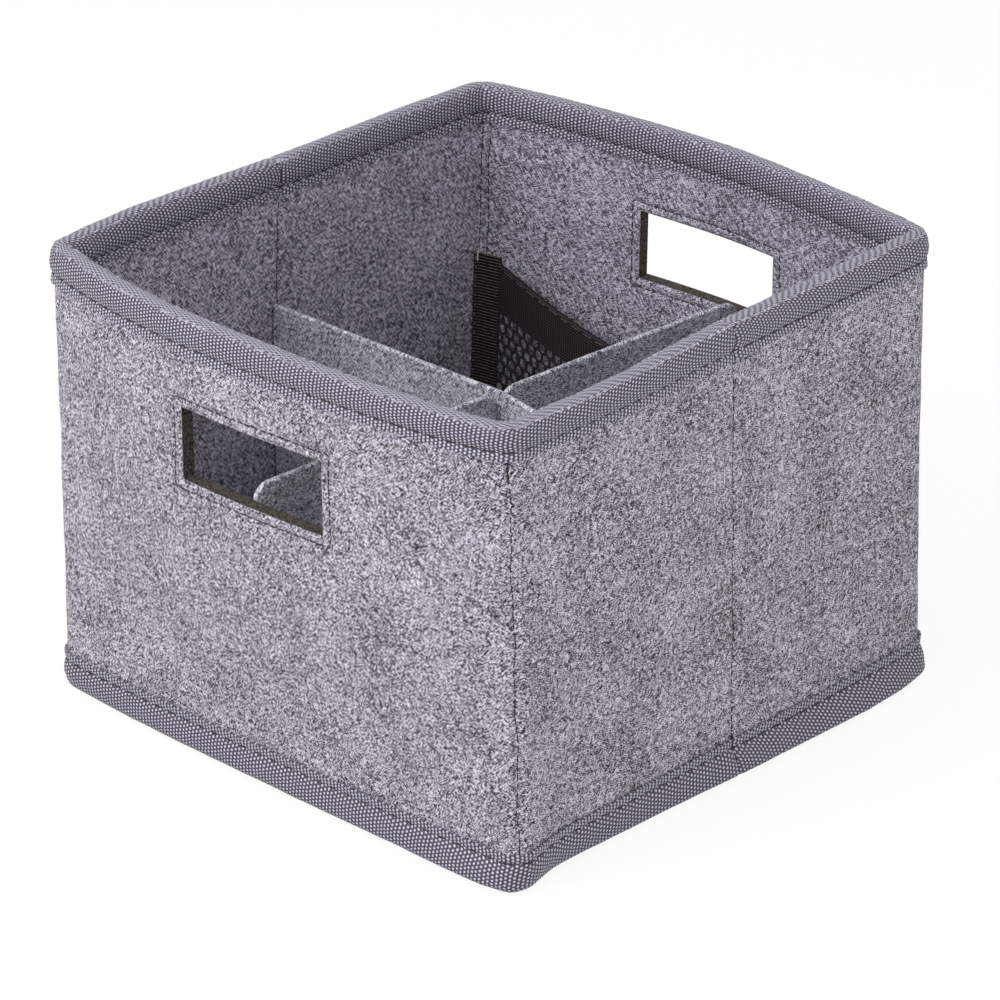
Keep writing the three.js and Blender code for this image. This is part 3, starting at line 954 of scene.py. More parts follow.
TAPE_STITCH = Stitch(9.5, 7.8, 1.0, 0.8)
WALL_STITCH = Stitch(4.6, 4.3, 0.75, 0.5)
# Wide stitches that overlap into a dark band: partly real thread, partly painted shade of the slot under the
# rim tape.
TACK_AND_SHADE_STITCH = Stitch(3.0, 4.4, 1.7, 0.7)
ELASTIC_STITCH = Stitch(2.6, 2.9, 0.5, 0.4)
CORNER_DOT = Stitch(5.0, 1.0, 0.8, 0.6)
THREAD_END = Stitch(1.0, 1.9, 0.9, 0.7)


@dataclass
class Seam:
    """A line of sewing on the cloth: its places and the way the cloth faces there."""

    points: np.ndarray
    facing: np.ndarray


class StitchTree(RepeatTree):
    """Stitches laid along lines and flat on the cloth."""

    def _build(self) -> None:
        """Puts a small stretched ball at each step of the lines."""
        add = self.add
        pitch, long, wide, high = (self.size(word, 0.0) for word in ("Pitch", "Length", "Width", "Height"))
        line = add("GeometryNodeMeshToCurve", {0: self.entry})
        steps = add("GeometryNodeResampleCurve", {"Curve": line, "Length": pitch}, mode="LENGTH")
        ahead = add("GeometryNodeInputTangent")
        forward = add("FunctionNodeAlignRotationToVector", {"Vector": ahead}, axis="X")
        out = add("GeometryNodeInputNamedAttribute", {"Name": FACING}, data_type="FLOAT_VECTOR")
        upright = add("FunctionNodeAlignRotationToVector", {"Rotation": forward, "Vector": out},
                      axis="Z", pivot_axis="X")
        ball = add("GeometryNodeMeshUVSphere", {"Segments": 6, "Rings": 4, "Radius": 0.5})
        size = add("ShaderNodeCombineXYZ", {"X": long, "Y": wide, "Z": high})
        self.finish(add("GeometryNodeInstanceOnPoints",
                        {"Points": steps, "Instance": ball, "Rotation": upright, "Scale": size}))

    def sew(self, name: str, seams: Sequence[Seam], thread: Finish, stitch: Stitch) -> bpy.types.Object:
        """Sews along lines.

        Args:
            name: the stitches' name.
            seams: the lines.
            thread: the thread's finish.
            stitch: the size of a stitch.

        Returns:
            The stitches.
        """
        return self.run(name, seam_mesh(name + "_line", seams), thread, Pitch=stitch.pitch * MM,
                        Length=stitch.length * MM, Width=stitch.width * MM, Height=stitch.height * MM)


class NapTree(RepeatTree):
    """Loose fibres that stand a little off a felt's face."""

    def _build(self) -> None:
        """Scatters slender spikes that lean along the cloth."""
        add = self.add
        density = self.size("Density", 50000.0)
        long = self.size("Length", 1.6 * MM)
        wide = self.size("Width", 0.16 * MM)
        lean = self.size("Lean", 1.4)
        seed = self.size("Seed", 0, "NodeSocketInt")
        spots = add("GeometryNodeDistributePointsOnFaces", {0: self.entry, "Density": density, "Seed": seed})
        wild = add("FunctionNodeRandomValue", {0: (-1, -1, -1), 1: (1, 1, 1), "Seed": seed},
                   data_type="FLOAT_VECTOR")
        leaning = add("ShaderNodeVectorMath", {0: wild, "Scale": lean}, operation="SCALE")
        aim = add("ShaderNodeVectorMath", {0: spots.outputs["Normal"], 1: leaning}, operation="ADD")
        turned = add("FunctionNodeAlignRotationToVector", {"Vector": aim}, axis="Z")
        spike = add("GeometryNodeMeshCone", {"Vertices": 3, "Radius Top": 0.0, "Radius Bottom": 0.5,
                                             "Depth": 1.0}, fill_type="TRIANGLE_FAN")
        reach = add("FunctionNodeRandomValue", {2: 0.4, 3: 1.3, "Seed": seed}, data_type="FLOAT")
        length = add("ShaderNodeMath", {0: reach.outputs[1], 1: long}, operation="MULTIPLY")
        size = add("ShaderNodeCombineXYZ", {"X": wide, "Y": wide, "Z": length})
        self.finish(add("GeometryNodeInstanceOnPoints",
                        {"Points": spots, "Instance": spike, "Rotation": turned, "Scale": size}))


class NetTree(RepeatTree):
    """Knitted net: each face of a sheet becomes a cell with an oval hole and round strands."""

    def _build(self) -> None:
        """Draws in a hole on each face, thickens what is left and rounds it."""
        add = self.add
        hole = self.size("Hole share", 0.62)
        thickness = self.size("Thickness", 1.0 * MM)
        rounding = self.size("Rounding", 1, "NodeSocketInt")
        cells = add("GeometryNodeExtrudeMesh", {0: self.entry, "Offset Scale": 0.0, "Individual": True},
                    mode="FACES")
        top = cells.outputs["Top"]
        drawn = add("GeometryNodeScaleElements", {0: cells, "Selection": top, "Scale": hole}, domain="FACE")
        strands = add("GeometryNodeDeleteGeometry", {0: drawn, "Selection": top}, domain="FACE")
        raised = add("GeometryNodeExtrudeMesh",
                     {0: strands, "Offset Scale": thickness, "Individual": False}, mode="FACES")
        turned = add("GeometryNodeFlipFaces", {0: strands})
        both = add("GeometryNodeJoinGeometry", {0: raised})
        self.tree.links.new(turned.outputs[0], both.inputs[0])
        joined = add("GeometryNodeMergeByDistance", {0: both, "Distance": 0.01 * MM})
        self.finish(add("GeometryNodeSubdivisionSurface", {0: joined, "Level": rounding}))


def seam_mesh(name: str, seams: Sequence[Seam]) -> bpy.types.Mesh:
    """Makes the line mesh that a stitch tree runs on.

    Args:
        name: the mesh's name.
        seams: the lines, in millimetres.

    Returns:
        A mesh of edges with the cloth's facing at each point.
    """
    edges: list[tuple[int, int]] = []
    count = 0
    for seam in seams:
        edges += [(count + i, count + i + 1) for i in range(len(seam.points) - 1)]
        count += len(seam.points)
    mesh = bpy.data.meshes.new(name)
    mesh.from_pydata((np.concatenate([s.points for s in seams]) * MM).tolist(), edges, [])
    facing = mesh.attributes.new(FACING, "FLOAT_VECTOR", "POINT")
    facing.data.foreach_set("vector", np.concatenate([s.facing for s in seams]).astype(np.float32).ravel())
    return mesh


def cloth_run(grid: np.ndarray, axis: int, back: bool) -> np.ndarray:
    """Length over the cloth from one end of a grid, which is the handle wall's middle.

    Args:
        grid: points in rows and columns.
        axis: the grid's direction round the box.
        back: whether the handle wall's middle is the grid's far end.

    Returns:
        A length for each point, which is negative where the middle is the far end.
    """
    steps = np.linalg.norm(np.diff(grid, axis=axis), axis=-1)
    start = np.zeros_like(np.take(steps, [0], axis))
    length = np.cumsum(np.concatenate([start, steps], axis=axis), axis=axis)
    return length - np.take(length, [-1], axis) if back else length


def skin_mesh(name: str, grid: np.ndarray, kept: np.ndarray) -> bpy.types.Mesh:
    """Makes the open skin that a nap grows on.

    Args:
        name: the mesh's name.
        grid: points in rows and columns, in millimetres.
        kept: which cells are there.

    Returns:
        The mesh.
    """
    columns = grid.shape[1]
    corners = np.array([0, columns, columns + 1, 1])
    faces = [tuple((row * columns + column + corners).tolist()) for row, column in np.argwhere(kept)]
    mesh = bpy.data.meshes.new(name)
    mesh.from_pydata((grid.reshape(-1, 3) * MM).tolist(), [], faces)
    return mesh


def welded(made: bpy.types.Object, distance: float = 0.001) -> bpy.types.Object:
    """Merges points of a piece that lie on one another.

    Args:
        made: the piece.
        distance: how close they lie, in millimetres.

    Returns:
        The piece.
    """
    work = bmesh.new()
    work.from_mesh(made.data)
    bmesh.ops.remove_doubles(work, verts=work.verts, dist=distance * MM)
    bmesh.ops.dissolve_degenerate(work, edges=work.edges, dist=1e-7)
    bmesh.ops.recalc_face_normals(work, faces=work.faces)
    work.to_mesh(made.data)
    work.free()
    made.data.set_sharp_from_angle(angle=SHARP_ANGLE)
    return made


@dataclass
class Pleat:
    """A pinched ridge across the inner leg of a binding tape."""

    side: Side
    place: float
    width: float
    height: float


@dataclass
class FeltWalls:
    """The felt of the four walls, outside and inside, with its sewn grooves and its cut hand holes."""

    plan: WallPlan
    soft_waves: float = 0.22
    corner_groove: float = 0.9
    crease_groove: float = 0.7
    seam_groove: float = 0.7
    groove_width: float = 0.8
    inner_crease_width: float = 1.4
    cut_rounding: float = 1.3
    back: float = 1.75
    collar: float = 1.45
    collar_reach: float = 1.0
    collar_ease: float = 1.5
    crease_strip: float = 7.0
    strip_back: float = 2.4
    strip_rows: int = 61
    strip_steps: tuple[float, float, float] = (1.5, 0.5, 2.0)
    split_gap: float = 0.15
    turn_fine: float = 3.0
    lining_cloth: float = 400.0
    thickness: float = 2.0
    grid_steps: tuple[float, float, float] = (5.0, 0.7, 2.0)
    nap_density: float = 60000.0
    nap_low: float = 21.5
    nap_high: float = 210.5
    nap_clear: float = 0.9

    def _cut_distance(self, distance: np.ndarray, height: np.ndarray,
                      side: Side) -> tuple[np.ndarray, np.ndarray]:
        """How far a place is from the hand hole's edge and from the seam round it.

        Args:
            distance: distances round the box.
            height: levels.
            side: the handle wall.

        Returns:
            The distance outwards from the cut edge, and the distance from the seam.
        """
        beside = np.abs(way_from(distance, self.plan.middles[side])) - SIZES.handle_width / 2
        above = np.abs(height - (SIZES.handle_bottom + SIZES.handle_top) / 2) - SIZES.handle_height / 2
        away = np.maximum(beside, above)
        return away, np.abs(away - SIZES.handle_seam)

    def surface(self, distance: np.ndarray, height: np.ndarray, face: Face,
                handle_side: Side) -> np.ndarray:
        """Depth of the felt's face from the wall's middle.

        Args:
            distance: distances round the box.
            height: levels.
            face: the outer or the inner face.
            handle_side: the handle wall that is nearest.

        Returns:
            Depths, positive outwards.
        """
        outside = face is Face.OUTER
        depth = SIZES.wall / 2 + self.soft_waves * hollows(distance, height, 11 if outside else 23)
        middles = self.plan.middles
        if outside:
            for side in Side:
                off = way_from(distance, middles[side] + SIZES.to_corner(side))
                depth = depth - self.corner_groove * bell(off, self.groove_width)
        for crease in (Side.RIGHT, Side.LEFT):
            width = self.groove_width if outside else self.inner_crease_width
            depth = depth - self.crease_groove * bell(way_from(distance, middles[crease]), width)
        away, seam = self._cut_distance(distance, height, handle_side)
        depth = depth - self.seam_groove * bell(seam, self.groove_width)
        inside = np.clip(self.cut_rounding - away, 0, self.cut_rounding)
        rounding = self.cut_rounding - np.sqrt(np.maximum(self.cut_rounding ** 2 - inside ** 2, 0))
        return face.value * (depth - np.where(away < self.cut_rounding, rounding, 0.0))

    def grid(self, quarter: Quarter, crease_gap: float) -> tuple[np.ndarray, np.ndarray, np.ndarray]:
        """The grid of places over a quarter's felt, and which of its cells are cloth.

        Args:
            quarter: the quarter.
            crease_gap: how far it stops short of the crease.

        Returns:
            Distances and levels, both columns by rows, and the kept cells.
        """
        low, high = quarter.span(self.plan, crease_gap)
        ahead = quarter.ahead
        middle, crease = (low, high) if ahead > 0 else (high, low)
        cut = middle + ahead * SIZES.handle_width / 2
        corner = middle + ahead * SIZES.to_corner(quarter.handle_side)
        turn = [corner - self.turn_fine, corner, corner + self.turn_fine]
        fine = [cut, cut + ahead * SIZES.handle_seam, *turn, crease]
        along = spaced(low, high, [cut], fine, *self.grid_steps)
        bottom, top, seam = SIZES.handle_bottom, SIZES.handle_top, SIZES.handle_seam
        fine = [bottom, bottom - seam, top, top + seam]
        up = spaced(SIZES.wall_bottom, SIZES.wall_top, [bottom, top], fine, *self.grid_steps)
        in_cut = np.abs(centres(along) - middle) < SIZES.handle_width / 2
        in_hole = (centres(up) > bottom) & (centres(up) < top)
        distance, height = np.meshgrid(along, up, indexing="ij")
        return distance, height, ~(in_cut[:, None] & in_hole)

    def _bare(self, distance: np.ndarray, height: np.ndarray, quarter: Quarter) -> np.ndarray:
        """Which cells lie clear of the tapes and of the seams, so that loose fibres show there."""
        around = (distance[1:, 1:] + distance[:-1, :-1]) / 2
        level = (height[1:, 1:] + height[:-1, :-1]) / 2
        _, seam = self._cut_distance(around, level, quarter.handle_side)
        clear = (level > self.nap_low) & (level < self.nap_high) & (seam > self.nap_clear)
        crease = self.plan.middles[quarter.crease_side]
        corners = [self.plan.middles[side] + sign * SIZES.to_corner(side)
                   for side in (quarter.handle_side, quarter.crease_side) for sign in (1, -1)]
        for place in (*corners, crease):
            clear &= np.abs(way_from(around, place)) > self.nap_clear
        return clear

    def backing(self, distance: np.ndarray, height: np.ndarray, face: Face,
                handle_side: Side) -> np.ndarray:
        """Depth of the felt's hidden side, which steps out round the board's collar at a hand hole."""
        away, _ = self._cut_distance(distance, height, handle_side)
        near = np.clip(1 - (away - self.collar_reach) / self.collar_ease, 0, 1)
        return face.value * (self.back + self.collar * near)

    def build(self) -> None:
        """Builds the felt of the four quarters, the strip over the right crease and the fibres."""
        nap = NapTree("loose_fibres")
        for number, quarter in enumerate(QUARTERS):
            for face in Face:
                self._quarter_felt(quarter, face, nap, number * 7 + face.value)
        self._crease_strip()

    def _quarter_felt(self, quarter: Quarter, face: Face, nap: NapTree, seed: int) -> None:
        """Builds one felt of a quarter and its fibres.

        Args:
            quarter: the quarter.
            face: the outer or the inner felt.
            nap: the tree that makes the fibres.
            seed: the fibres' seed.
        """
        outside, word = face is Face.OUTER, face.name.lower()
        gap = self.crease_strip if outside and quarter.crease_side is Side.RIGHT else self.split_gap
        distance, height, kept = self.grid(quarter, gap)
        places = distance, height
        front = self.plan.place(*places, self.surface(*places, face, quarter.handle_side))
        back = self.plan.place(*places, self.backing(*places, face, quarter.handle_side))
        uv = np.stack([cloth_run(front, 0, quarter.ahead < 0),
                       height + (0 if outside else self.lining_cloth)], axis=-1)
        finish = WALL_FELT if outside else LINING_FELT
        made = closed_sheet(f"{quarter.name}_{word}_felt", finish, front, back, uv, kept, self.thickness)
        nodes = [f"{quarter.crease_body}_{word}_felt"]
        if quarter.sign_x > 0:
            nodes.append(f"{quarter.handle_body}_{word}_felt")
        if outside:
            nodes.append(f"{quarter.name}_corner_felt")
        place_blended(made, nodes)
        skin = skin_mesh(made.name + "_skin", front, kept & self._bare(*places, quarter))
        fibres = nap.run(f"{quarter.name}_{word}_fibres", skin, WALL_NAP, Density=self.nap_density, Seed=seed)
        place_blended(fibres)

    def _crease_strip(self) -> None:
        """Builds the outer felt over the right crease, between the two halves."""
        middle = self.plan.middles[Side.RIGHT]
        along = spaced(middle - self.crease_strip, middle + self.crease_strip, [], [middle],
                       *self.strip_steps)
        up = np.linspace(SIZES.wall_bottom, SIZES.wall_top, self.strip_rows)
        distance, height = np.meshgrid(along, up, indexing="ij")
        front = self.plan.place(distance, height, self.surface(distance, height, Face.OUTER, Side.FRONT))
        back = self.plan.place(distance, height, self.strip_back)
        made = closed_sheet("right_crease_outer_felt", WALL_FELT, front, back,
                            np.stack([distance, height], axis=-1))
        place_over_crease(made)


def tell(made: bpy.types.Object, nodes: Sequence[str]) -> None:
    """Hides the part's solids that a piece replaces, and logs the piece's name and count of faces.

    Args:
        made: the piece.
        nodes: the part's solids that it replaces.
    """
    if nodes:
        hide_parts(*nodes)
    LOG.info("%s: %d faces", made.name, len(made.data.polygons))


def place_blended(made: bpy.types.Object, nodes: Sequence[str] = ()) -> None:
    """Bakes a piece's place into its mesh, hides the part's solids that it replaces and logs its faces.

    Args:
        made: the piece.
        nodes: the part's solids that it replaces.
    """
    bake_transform(made)
    tell(made, nodes)


def place_over_crease(made: bpy.types.Object) -> None:
    """Bakes the place of a piece that lies over the right crease into its mesh, and logs its faces.

    Args:
        made: the piece.
    """
    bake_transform(made)
    tell(made, [])


def place_rigid(made: bpy.types.Object, body: str, nodes: Sequence[str] = ()) -> None:
    """Lets a piece ride on one body, hides the part's solids that it replaces and logs its faces.

    Args:
        made: the piece.
        body: the body.
        nodes: the part's solids that it replaces.
    """
    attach(made, body)
    tell(made, nodes)


@dataclass
class Boards:
    """The stiff boards inside the walls, with a thick collar where a hand hole shows their edge; the collar
    also covers the felt's cut edges, so its dark colour stands partly for their heat-cut darkening and partly
    for painted shade in the jamb.
    """

    plan: WallPlan
    half: float = 1.7
    collar_half: float = 3.15
    collar_reach: float = 1.2
    setback: float = 3.0
    crease_gap: float = 0.4
    proud: float = 0.25
    grid_steps: tuple[float, float, float] = (6.0, 0.6, 1.5)
    plain_grid: tuple[int, int] = (20, 24)

    def build(self) -> None:
        """Builds the two pierced boards and the four plain ones."""
        for side, body in ((Side.FRONT, "front_wall"), (Side.REAR, "rear_wall")):
            self._pierced(side, body)
        for quarter in QUARTERS:
            self._plain(quarter)

    def _pierced(self, side: Side, body: str) -> None:
        """Builds the board of a handle wall."""
        middle = self.plan.middles[side]
        reach = SIZES.hinge_x - self.setback
        cut = SIZES.handle_width / 2 - self.proud
        bottom, top = SIZES.handle_bottom + self.proud, SIZES.handle_top - self.proud
        edges = [middle - cut, middle + cut]
        along = spaced(middle - reach, middle + reach, edges, edges, *self.grid_steps)
        up = spaced(SIZES.wall_bottom, SIZES.wall_top, [bottom, top], [bottom, top], *self.grid_steps)
        distance, height = np.meshgrid(along, up, indexing="ij")
        beside = np.abs(distance - middle) - cut
        above = np.abs(height - (bottom + top) / 2) - (top - bottom) / 2
        # The collar round the hole is dark board over the felt's cut edges: partly their heat-cut darkening,
        # partly painted shade in the jamb.
        half = np.where(np.maximum(beside, above) < self.collar_reach, self.collar_half, self.half)
        in_cut = np.abs(centres(along) - middle) < cut
        in_hole = (centres(up) > bottom) & (centres(up) < top)
        self._board(body, distance, height, half, ~(in_cut[:, None] & in_hole))

    def _plain(self, quarter: Quarter) -> None:
        """Builds the board of half a creased wall."""
        ends = [self.plan.along(quarter.crease_side, quarter.sign_y * place)
                for place in (self.crease_gap + self.setback, SIZES.hinge_y - self.setback)]
        columns, rows = self.plain_grid
        distance, height = np.meshgrid(np.linspace(min(ends), max(ends), columns),
                                       np.linspace(SIZES.wall_bottom, SIZES.wall_top, rows), indexing="ij")
        self._board(quarter.crease_body, distance, height, self.half)

    def _board(self, body: str, distance: np.ndarray, height: np.ndarray, half: np.ndarray | float,
               kept: np.ndarray | None = None) -> None:
        """Builds a board and lets it ride on its body.

        Args:
            body: the body.
            distance: distances round the box, columns by rows.
            height: levels.
            half: half the board's thickness.
            kept: which cells are there, or all of them.
        """
        front, back = (self.plan.place(distance, height, sign * half) for sign in (1, -1))
        made = closed_sheet(f"{body}_core_board_dressed", PRESSED_BOARD, front, back,
                            np.stack([distance, height], axis=-1), kept)
        place_rigid(made, body, [f"{body}_core_board"])


@dataclass
class Binding:
    """Woven tape folded over a wall's edge and sewn through near its free edges."""

    plan: WallPlan
    edge: Edge
    rises: tuple[float, ...] = (0.0, 0.4, 1.4, 2.6, 3.6, 4.4, 5.2, 6.4, 8.2, 10.4)
    turn_points: int = 13
    pinch_depth: float = 1.1
    pinch_width: float = 1.7
    seam_rise: float = 4.4
    seam_width: float = 0.9
    seam_row: int = 5
    seam_dip: float = 0.8
    quilt: float = 0.35
    belly: float = 0.7
    belly_rise: float = 9.5
    belly_width: float = 3.2
    belly_wave: float = 0.6
    lip_flare: float = 0.3
    lip_width: float = 3.0
    lip_wave: float = 0.8
    edge_wander: float = 0.25
    edge_width: float = 5.0
    crown: float = 5.2
    crown_dip: float = 0.25
    flare_from: float = 16.0
    flare_over: float = 13.0
    flare_power: float = 1.5
    base_lift: float = 0.25
    base_rise: float = 20.0
    thread_proud: float = 0.1
    seam_margin: float = 1.0
    end_gap: float = 0.25
    step: float = 1.7
    pleats: Sequence[Pleat] = ()
    flare: SideTable | None = None

    def _section(self) -> tuple[np.ndarray, np.ndarray, np.ndarray]:
        """The tape's outer line: depth across the wall, drop from the edge, and length along the line."""
        half, reach = SIZES.tape_half, SIZES.tape_reach
        leg = [(half, reach - rise) for rise in self.rises if reach - rise > self.crown]
        turn = [(half * math.cos(angle), self.crown * (1 - math.sin(angle)))
                for angle in np.linspace(0, math.pi, self.turn_points)]
        line = np.array(leg + turn + [(-x, drop) for x, drop in reversed(leg)])
        length = np.concatenate([[0], np.cumsum(np.linalg.norm(np.diff(line, axis=0), axis=1))])
        return line[:, 0], line[:, 1], length

    def _puff(self, distance: np.ndarray, across: np.ndarray, rise: np.ndarray) -> np.ndarray:
        """How far the tape stands out on its leg: dips at the stitches, a belly, a lip and pleats.

        Args:
            distance: distances round the box, in a row.
            across: the section's depths, in a column.
            rise: the section's distances from the free edge, in a column.

        Returns:
            An amount for each place, section by distance.
        """
        wave, wander = self._waves(distance)
        quilt = 1 + self.quilt * np.cos(2 * math.pi * distance / TAPE_STITCH.pitch)
        puff = -self.seam_dip * quilt * bell(rise - self.seam_rise, self.seam_width)
        puff += self.belly * (1 + self.belly_wave * wave) * bell(rise - self.belly_rise, self.belly_width)
        puff += self.lip_flare * np.clip(1 - rise / self.lip_width, 0, 1) * (1 + self.lip_wave * wander)
        for pleat in self.pleats:
            off = way_from(distance, self.plan.along(pleat.side, pleat.place))
            puff += np.where(across < 0, pleat.height * bell(off, pleat.width), 0.0)
        return puff

    def _waves(self, distance: np.ndarray) -> tuple[np.ndarray, np.ndarray]:
        """Unevenness of the tape's belly and of its free edges, from about -1 to 1."""
        seed = 5 if self.edge is Edge.RIM else 6
        return ripple(distance, seed, 11), ripple(distance, seed + 2, 14)

    def _shape(self, distance: np.ndarray) -> tuple[np.ndarray, np.ndarray, np.ndarray, np.ndarray]:
        """Depths and levels of the tape's two skins over a run of the edge.

        Args:
            distance: distances round the box.

        Returns:
            Outer depth, inner depth, level of the outer skin and level of the inner skin, all section by
            distance.
        """
        across, drop = (values[:, None] for values in self._section()[:2])
        wave, wander = self._waves(distance)
        sign = np.sign(across)
        rise = SIZES.tape_reach - drop
        pinch = self.pinch_depth * sum(bell(way_from(distance, self.plan.middles[side]), self.pinch_width)
                                       for side in (Side.RIGHT, Side.LEFT))
        puff = self._puff(distance, across, rise) - pinch
        outer = across + sign * puff * np.clip((drop - self.crown) / 2, 0.25, 1)
        if self.flare:
            low = np.clip((self.flare_from - drop) / self.flare_over, 0, 1) ** self.flare_power
            low = low * np.clip(0.5 + across / SIZES.tape_half / 2, 0, 1)
            outer = outer + low * self.plan.between(self.flare, distance)[:, 0]
        inner = outer - sign * SIZES.tape_thickness * np.abs(across) / SIZES.tape_half
        crest = np.clip(1 - drop / self.crown, 0, 1) ** 2
        lift = self.edge_wander * wander * np.exp(-rise / self.edge_width)
        out_drop = drop + lift + (self.crown_dip * (1 + wave) + pinch) * crest
        in_drop = out_drop + SIZES.tape_thickness * crest
        return outer, inner, self._level(out_drop), self._level(in_drop)

    def _level(self, drop: np.ndarray) -> np.ndarray:
        """Level of a drop from the bound edge towards the wall's middle."""
        if self.edge is Edge.RIM:
            return SIZES.height - drop
        return self.base_lift + drop * self.base_rise / SIZES.tape_reach

    def _strip(self, quarter: Quarter, low: float, high: float) -> bpy.types.Object:
        """Builds a quarter's tape between two distances round the box."""
        distance = np.linspace(low, high, max(4, round((high - low) / self.step)))
        outer, inner, out_level, in_level = self._shape(distance)
        front = self.plan.place(distance, out_level, outer)
        back = self.plan.place(distance, in_level, inner)
        length = np.broadcast_to(self._section()[2][:, None], outer.shape)
        return closed_sheet(f"{quarter.name}_{self.edge.value}_tape", SLATE_TAPE, front, back,
                            np.stack([cloth_run(front, 1, quarter.ahead < 0), length], axis=-1))

    def build(self) -> None:
        """Builds the tape of the four quarters and its stitches."""
        sewing = StitchTree(f"{self.edge.value}_tape_stitches")
        for quarter in QUARTERS:
            low, high = quarter.span(self.plan, self.end_gap)
            nodes = [f"{quarter.crease_body}_{self.edge.value}_binding"]
            if quarter.sign_x > 0:
                nodes.append(f"{quarter.handle_body}_{self.edge.value}_binding")
            place_blended(self._strip(quarter, low, high), nodes)
            stitches = sewing.sew(f"{quarter.name}_{self.edge.value}_stitches",
                                  [self._seam(low, high, face) for face in Face], DARK_THREAD, TAPE_STITCH)
            place_blended(stitches)

    def _seam(self, low: float, high: float, face: Face) -> Seam:
        """The line of sewing on one leg of the tape."""
        distance = np.arange(low + self.seam_margin, high - self.seam_margin, SEAM_STEP)
        outer, _, level, _ = self._shape(distance)
        row = self.seam_row if face is Face.OUTER else -1 - self.seam_row
        points = self.plan.place(distance, level[row], outer[row] + face.value * self.thread_proud)
        return Seam(points, face.value * self.plan.facing(distance, level[row]))


@dataclass
class WallSeams:
    """The sewing that shows on the felt: round the hand holes, down the corners and down the creases."""

    plan: WallPlan
    walls: FeltWalls
    low: float = 21.5
    high: float = 211.0
    tack_and_shade_low: float = 203.0
    waves: tuple[tuple[float, float], ...] = ((0.3, 9.0), (0.2, 3.7))
    proud: float = 0.12
    cut_proud: float = 0.3
    inner_places: tuple[float, float] = (2.0, 7.6)
    crease_side_step: float = 0.35
    cut_points: int = 40

    def build(self) -> None:
        """Builds the stitches of each quarter and those of the right crease."""
        sewing = StitchTree("wall_stitches")
        for quarter in QUARTERS:
            side = quarter.handle_side
            corner = self._corner(quarter)
            seams = [self._hand_hole(quarter, face) for face in Face]
            seams.append(self._upright(corner, Face.OUTER, side))
            seams += [self._upright(corner - quarter.ahead * place, Face.INNER, side)
                      for place in self.inner_places]
            if quarter.name == "front_left":
                at = self.plan.middles[Side.LEFT] + self.crease_side_step
                seams += [self._upright(at, face, side) for face in Face]
            made = sewing.sew(f"{quarter.name}_wall_stitches", seams, DARK_THREAD, WALL_STITCH)
            place_blended(made)
        quarter = QUARTERS[0]
        # Under the rim tape at the front-right corner, a dark band of overlapping stitches: partly a real
        # tack, partly painted shade of the slot there.
        tack_and_shade = self._upright(self._corner(quarter), Face.OUTER, Side.FRONT, self.tack_and_shade_low)
        place_blended(sewing.sew("front_right_tack_and_shade", [tack_and_shade], DARK_THREAD, TACK_AND_SHADE_STITCH))
        crease = self._upright(self.plan.middles[Side.RIGHT], Face.OUTER, Side.FRONT)
        made = sewing.sew("right_crease_stitches", [crease], DARK_THREAD, WALL_STITCH)
        place_over_crease(made)

    def _corner(self, quarter: Quarter) -> float:
        """Distance round the box of a quarter's corner."""
        side = quarter.handle_side
        return self.plan.middles[side] + quarter.ahead * SIZES.to_corner(side)

    def _upright(self, at: float, face: Face, handle_side: Side, low: float | None = None) -> Seam:
        """An upright line of sewing, a little wavy."""
        height = np.arange(self.low if low is None else low, self.high, SEAM_STEP)
        distance = at + sum(size * np.sin(height / length) for size, length in self.waves)
        return self._line(distance, height, face, handle_side, self.proud)

    def _hand_hole(self, quarter: Quarter, face: Face) -> Seam:
        """Half of the rectangle of sewing round a hand hole."""
        out = SIZES.handle_width / 2 + SIZES.handle_seam
        low = SIZES.handle_bottom - SIZES.handle_seam
        high = SIZES.handle_top + SIZES.handle_seam
        corners = np.array([(0.0, low), (out, low), (out, high), (0.0, high)])
        first, *others = (np.linspace(a, b, self.cut_points) for a, b in zip(corners, corners[1:]))
        off, height = np.concatenate([first, *(path[1:] for path in others)]).T
        distance = self.plan.middles[quarter.handle_side] + quarter.ahead * off
        return self._line(distance, height, face, quarter.handle_side, self.cut_proud)

    def _line(self, distance: np.ndarray, height: np.ndarray, face: Face, handle_side: Side,
              proud: float) -> Seam:
        """A line of sewing that lies a little proud of the felt."""
        depth = self.walls.surface(distance, height, face, handle_side) + face.value * proud
        return Seam(self.plan.place(distance, height, depth), face.value * self.plan.facing(distance, height))


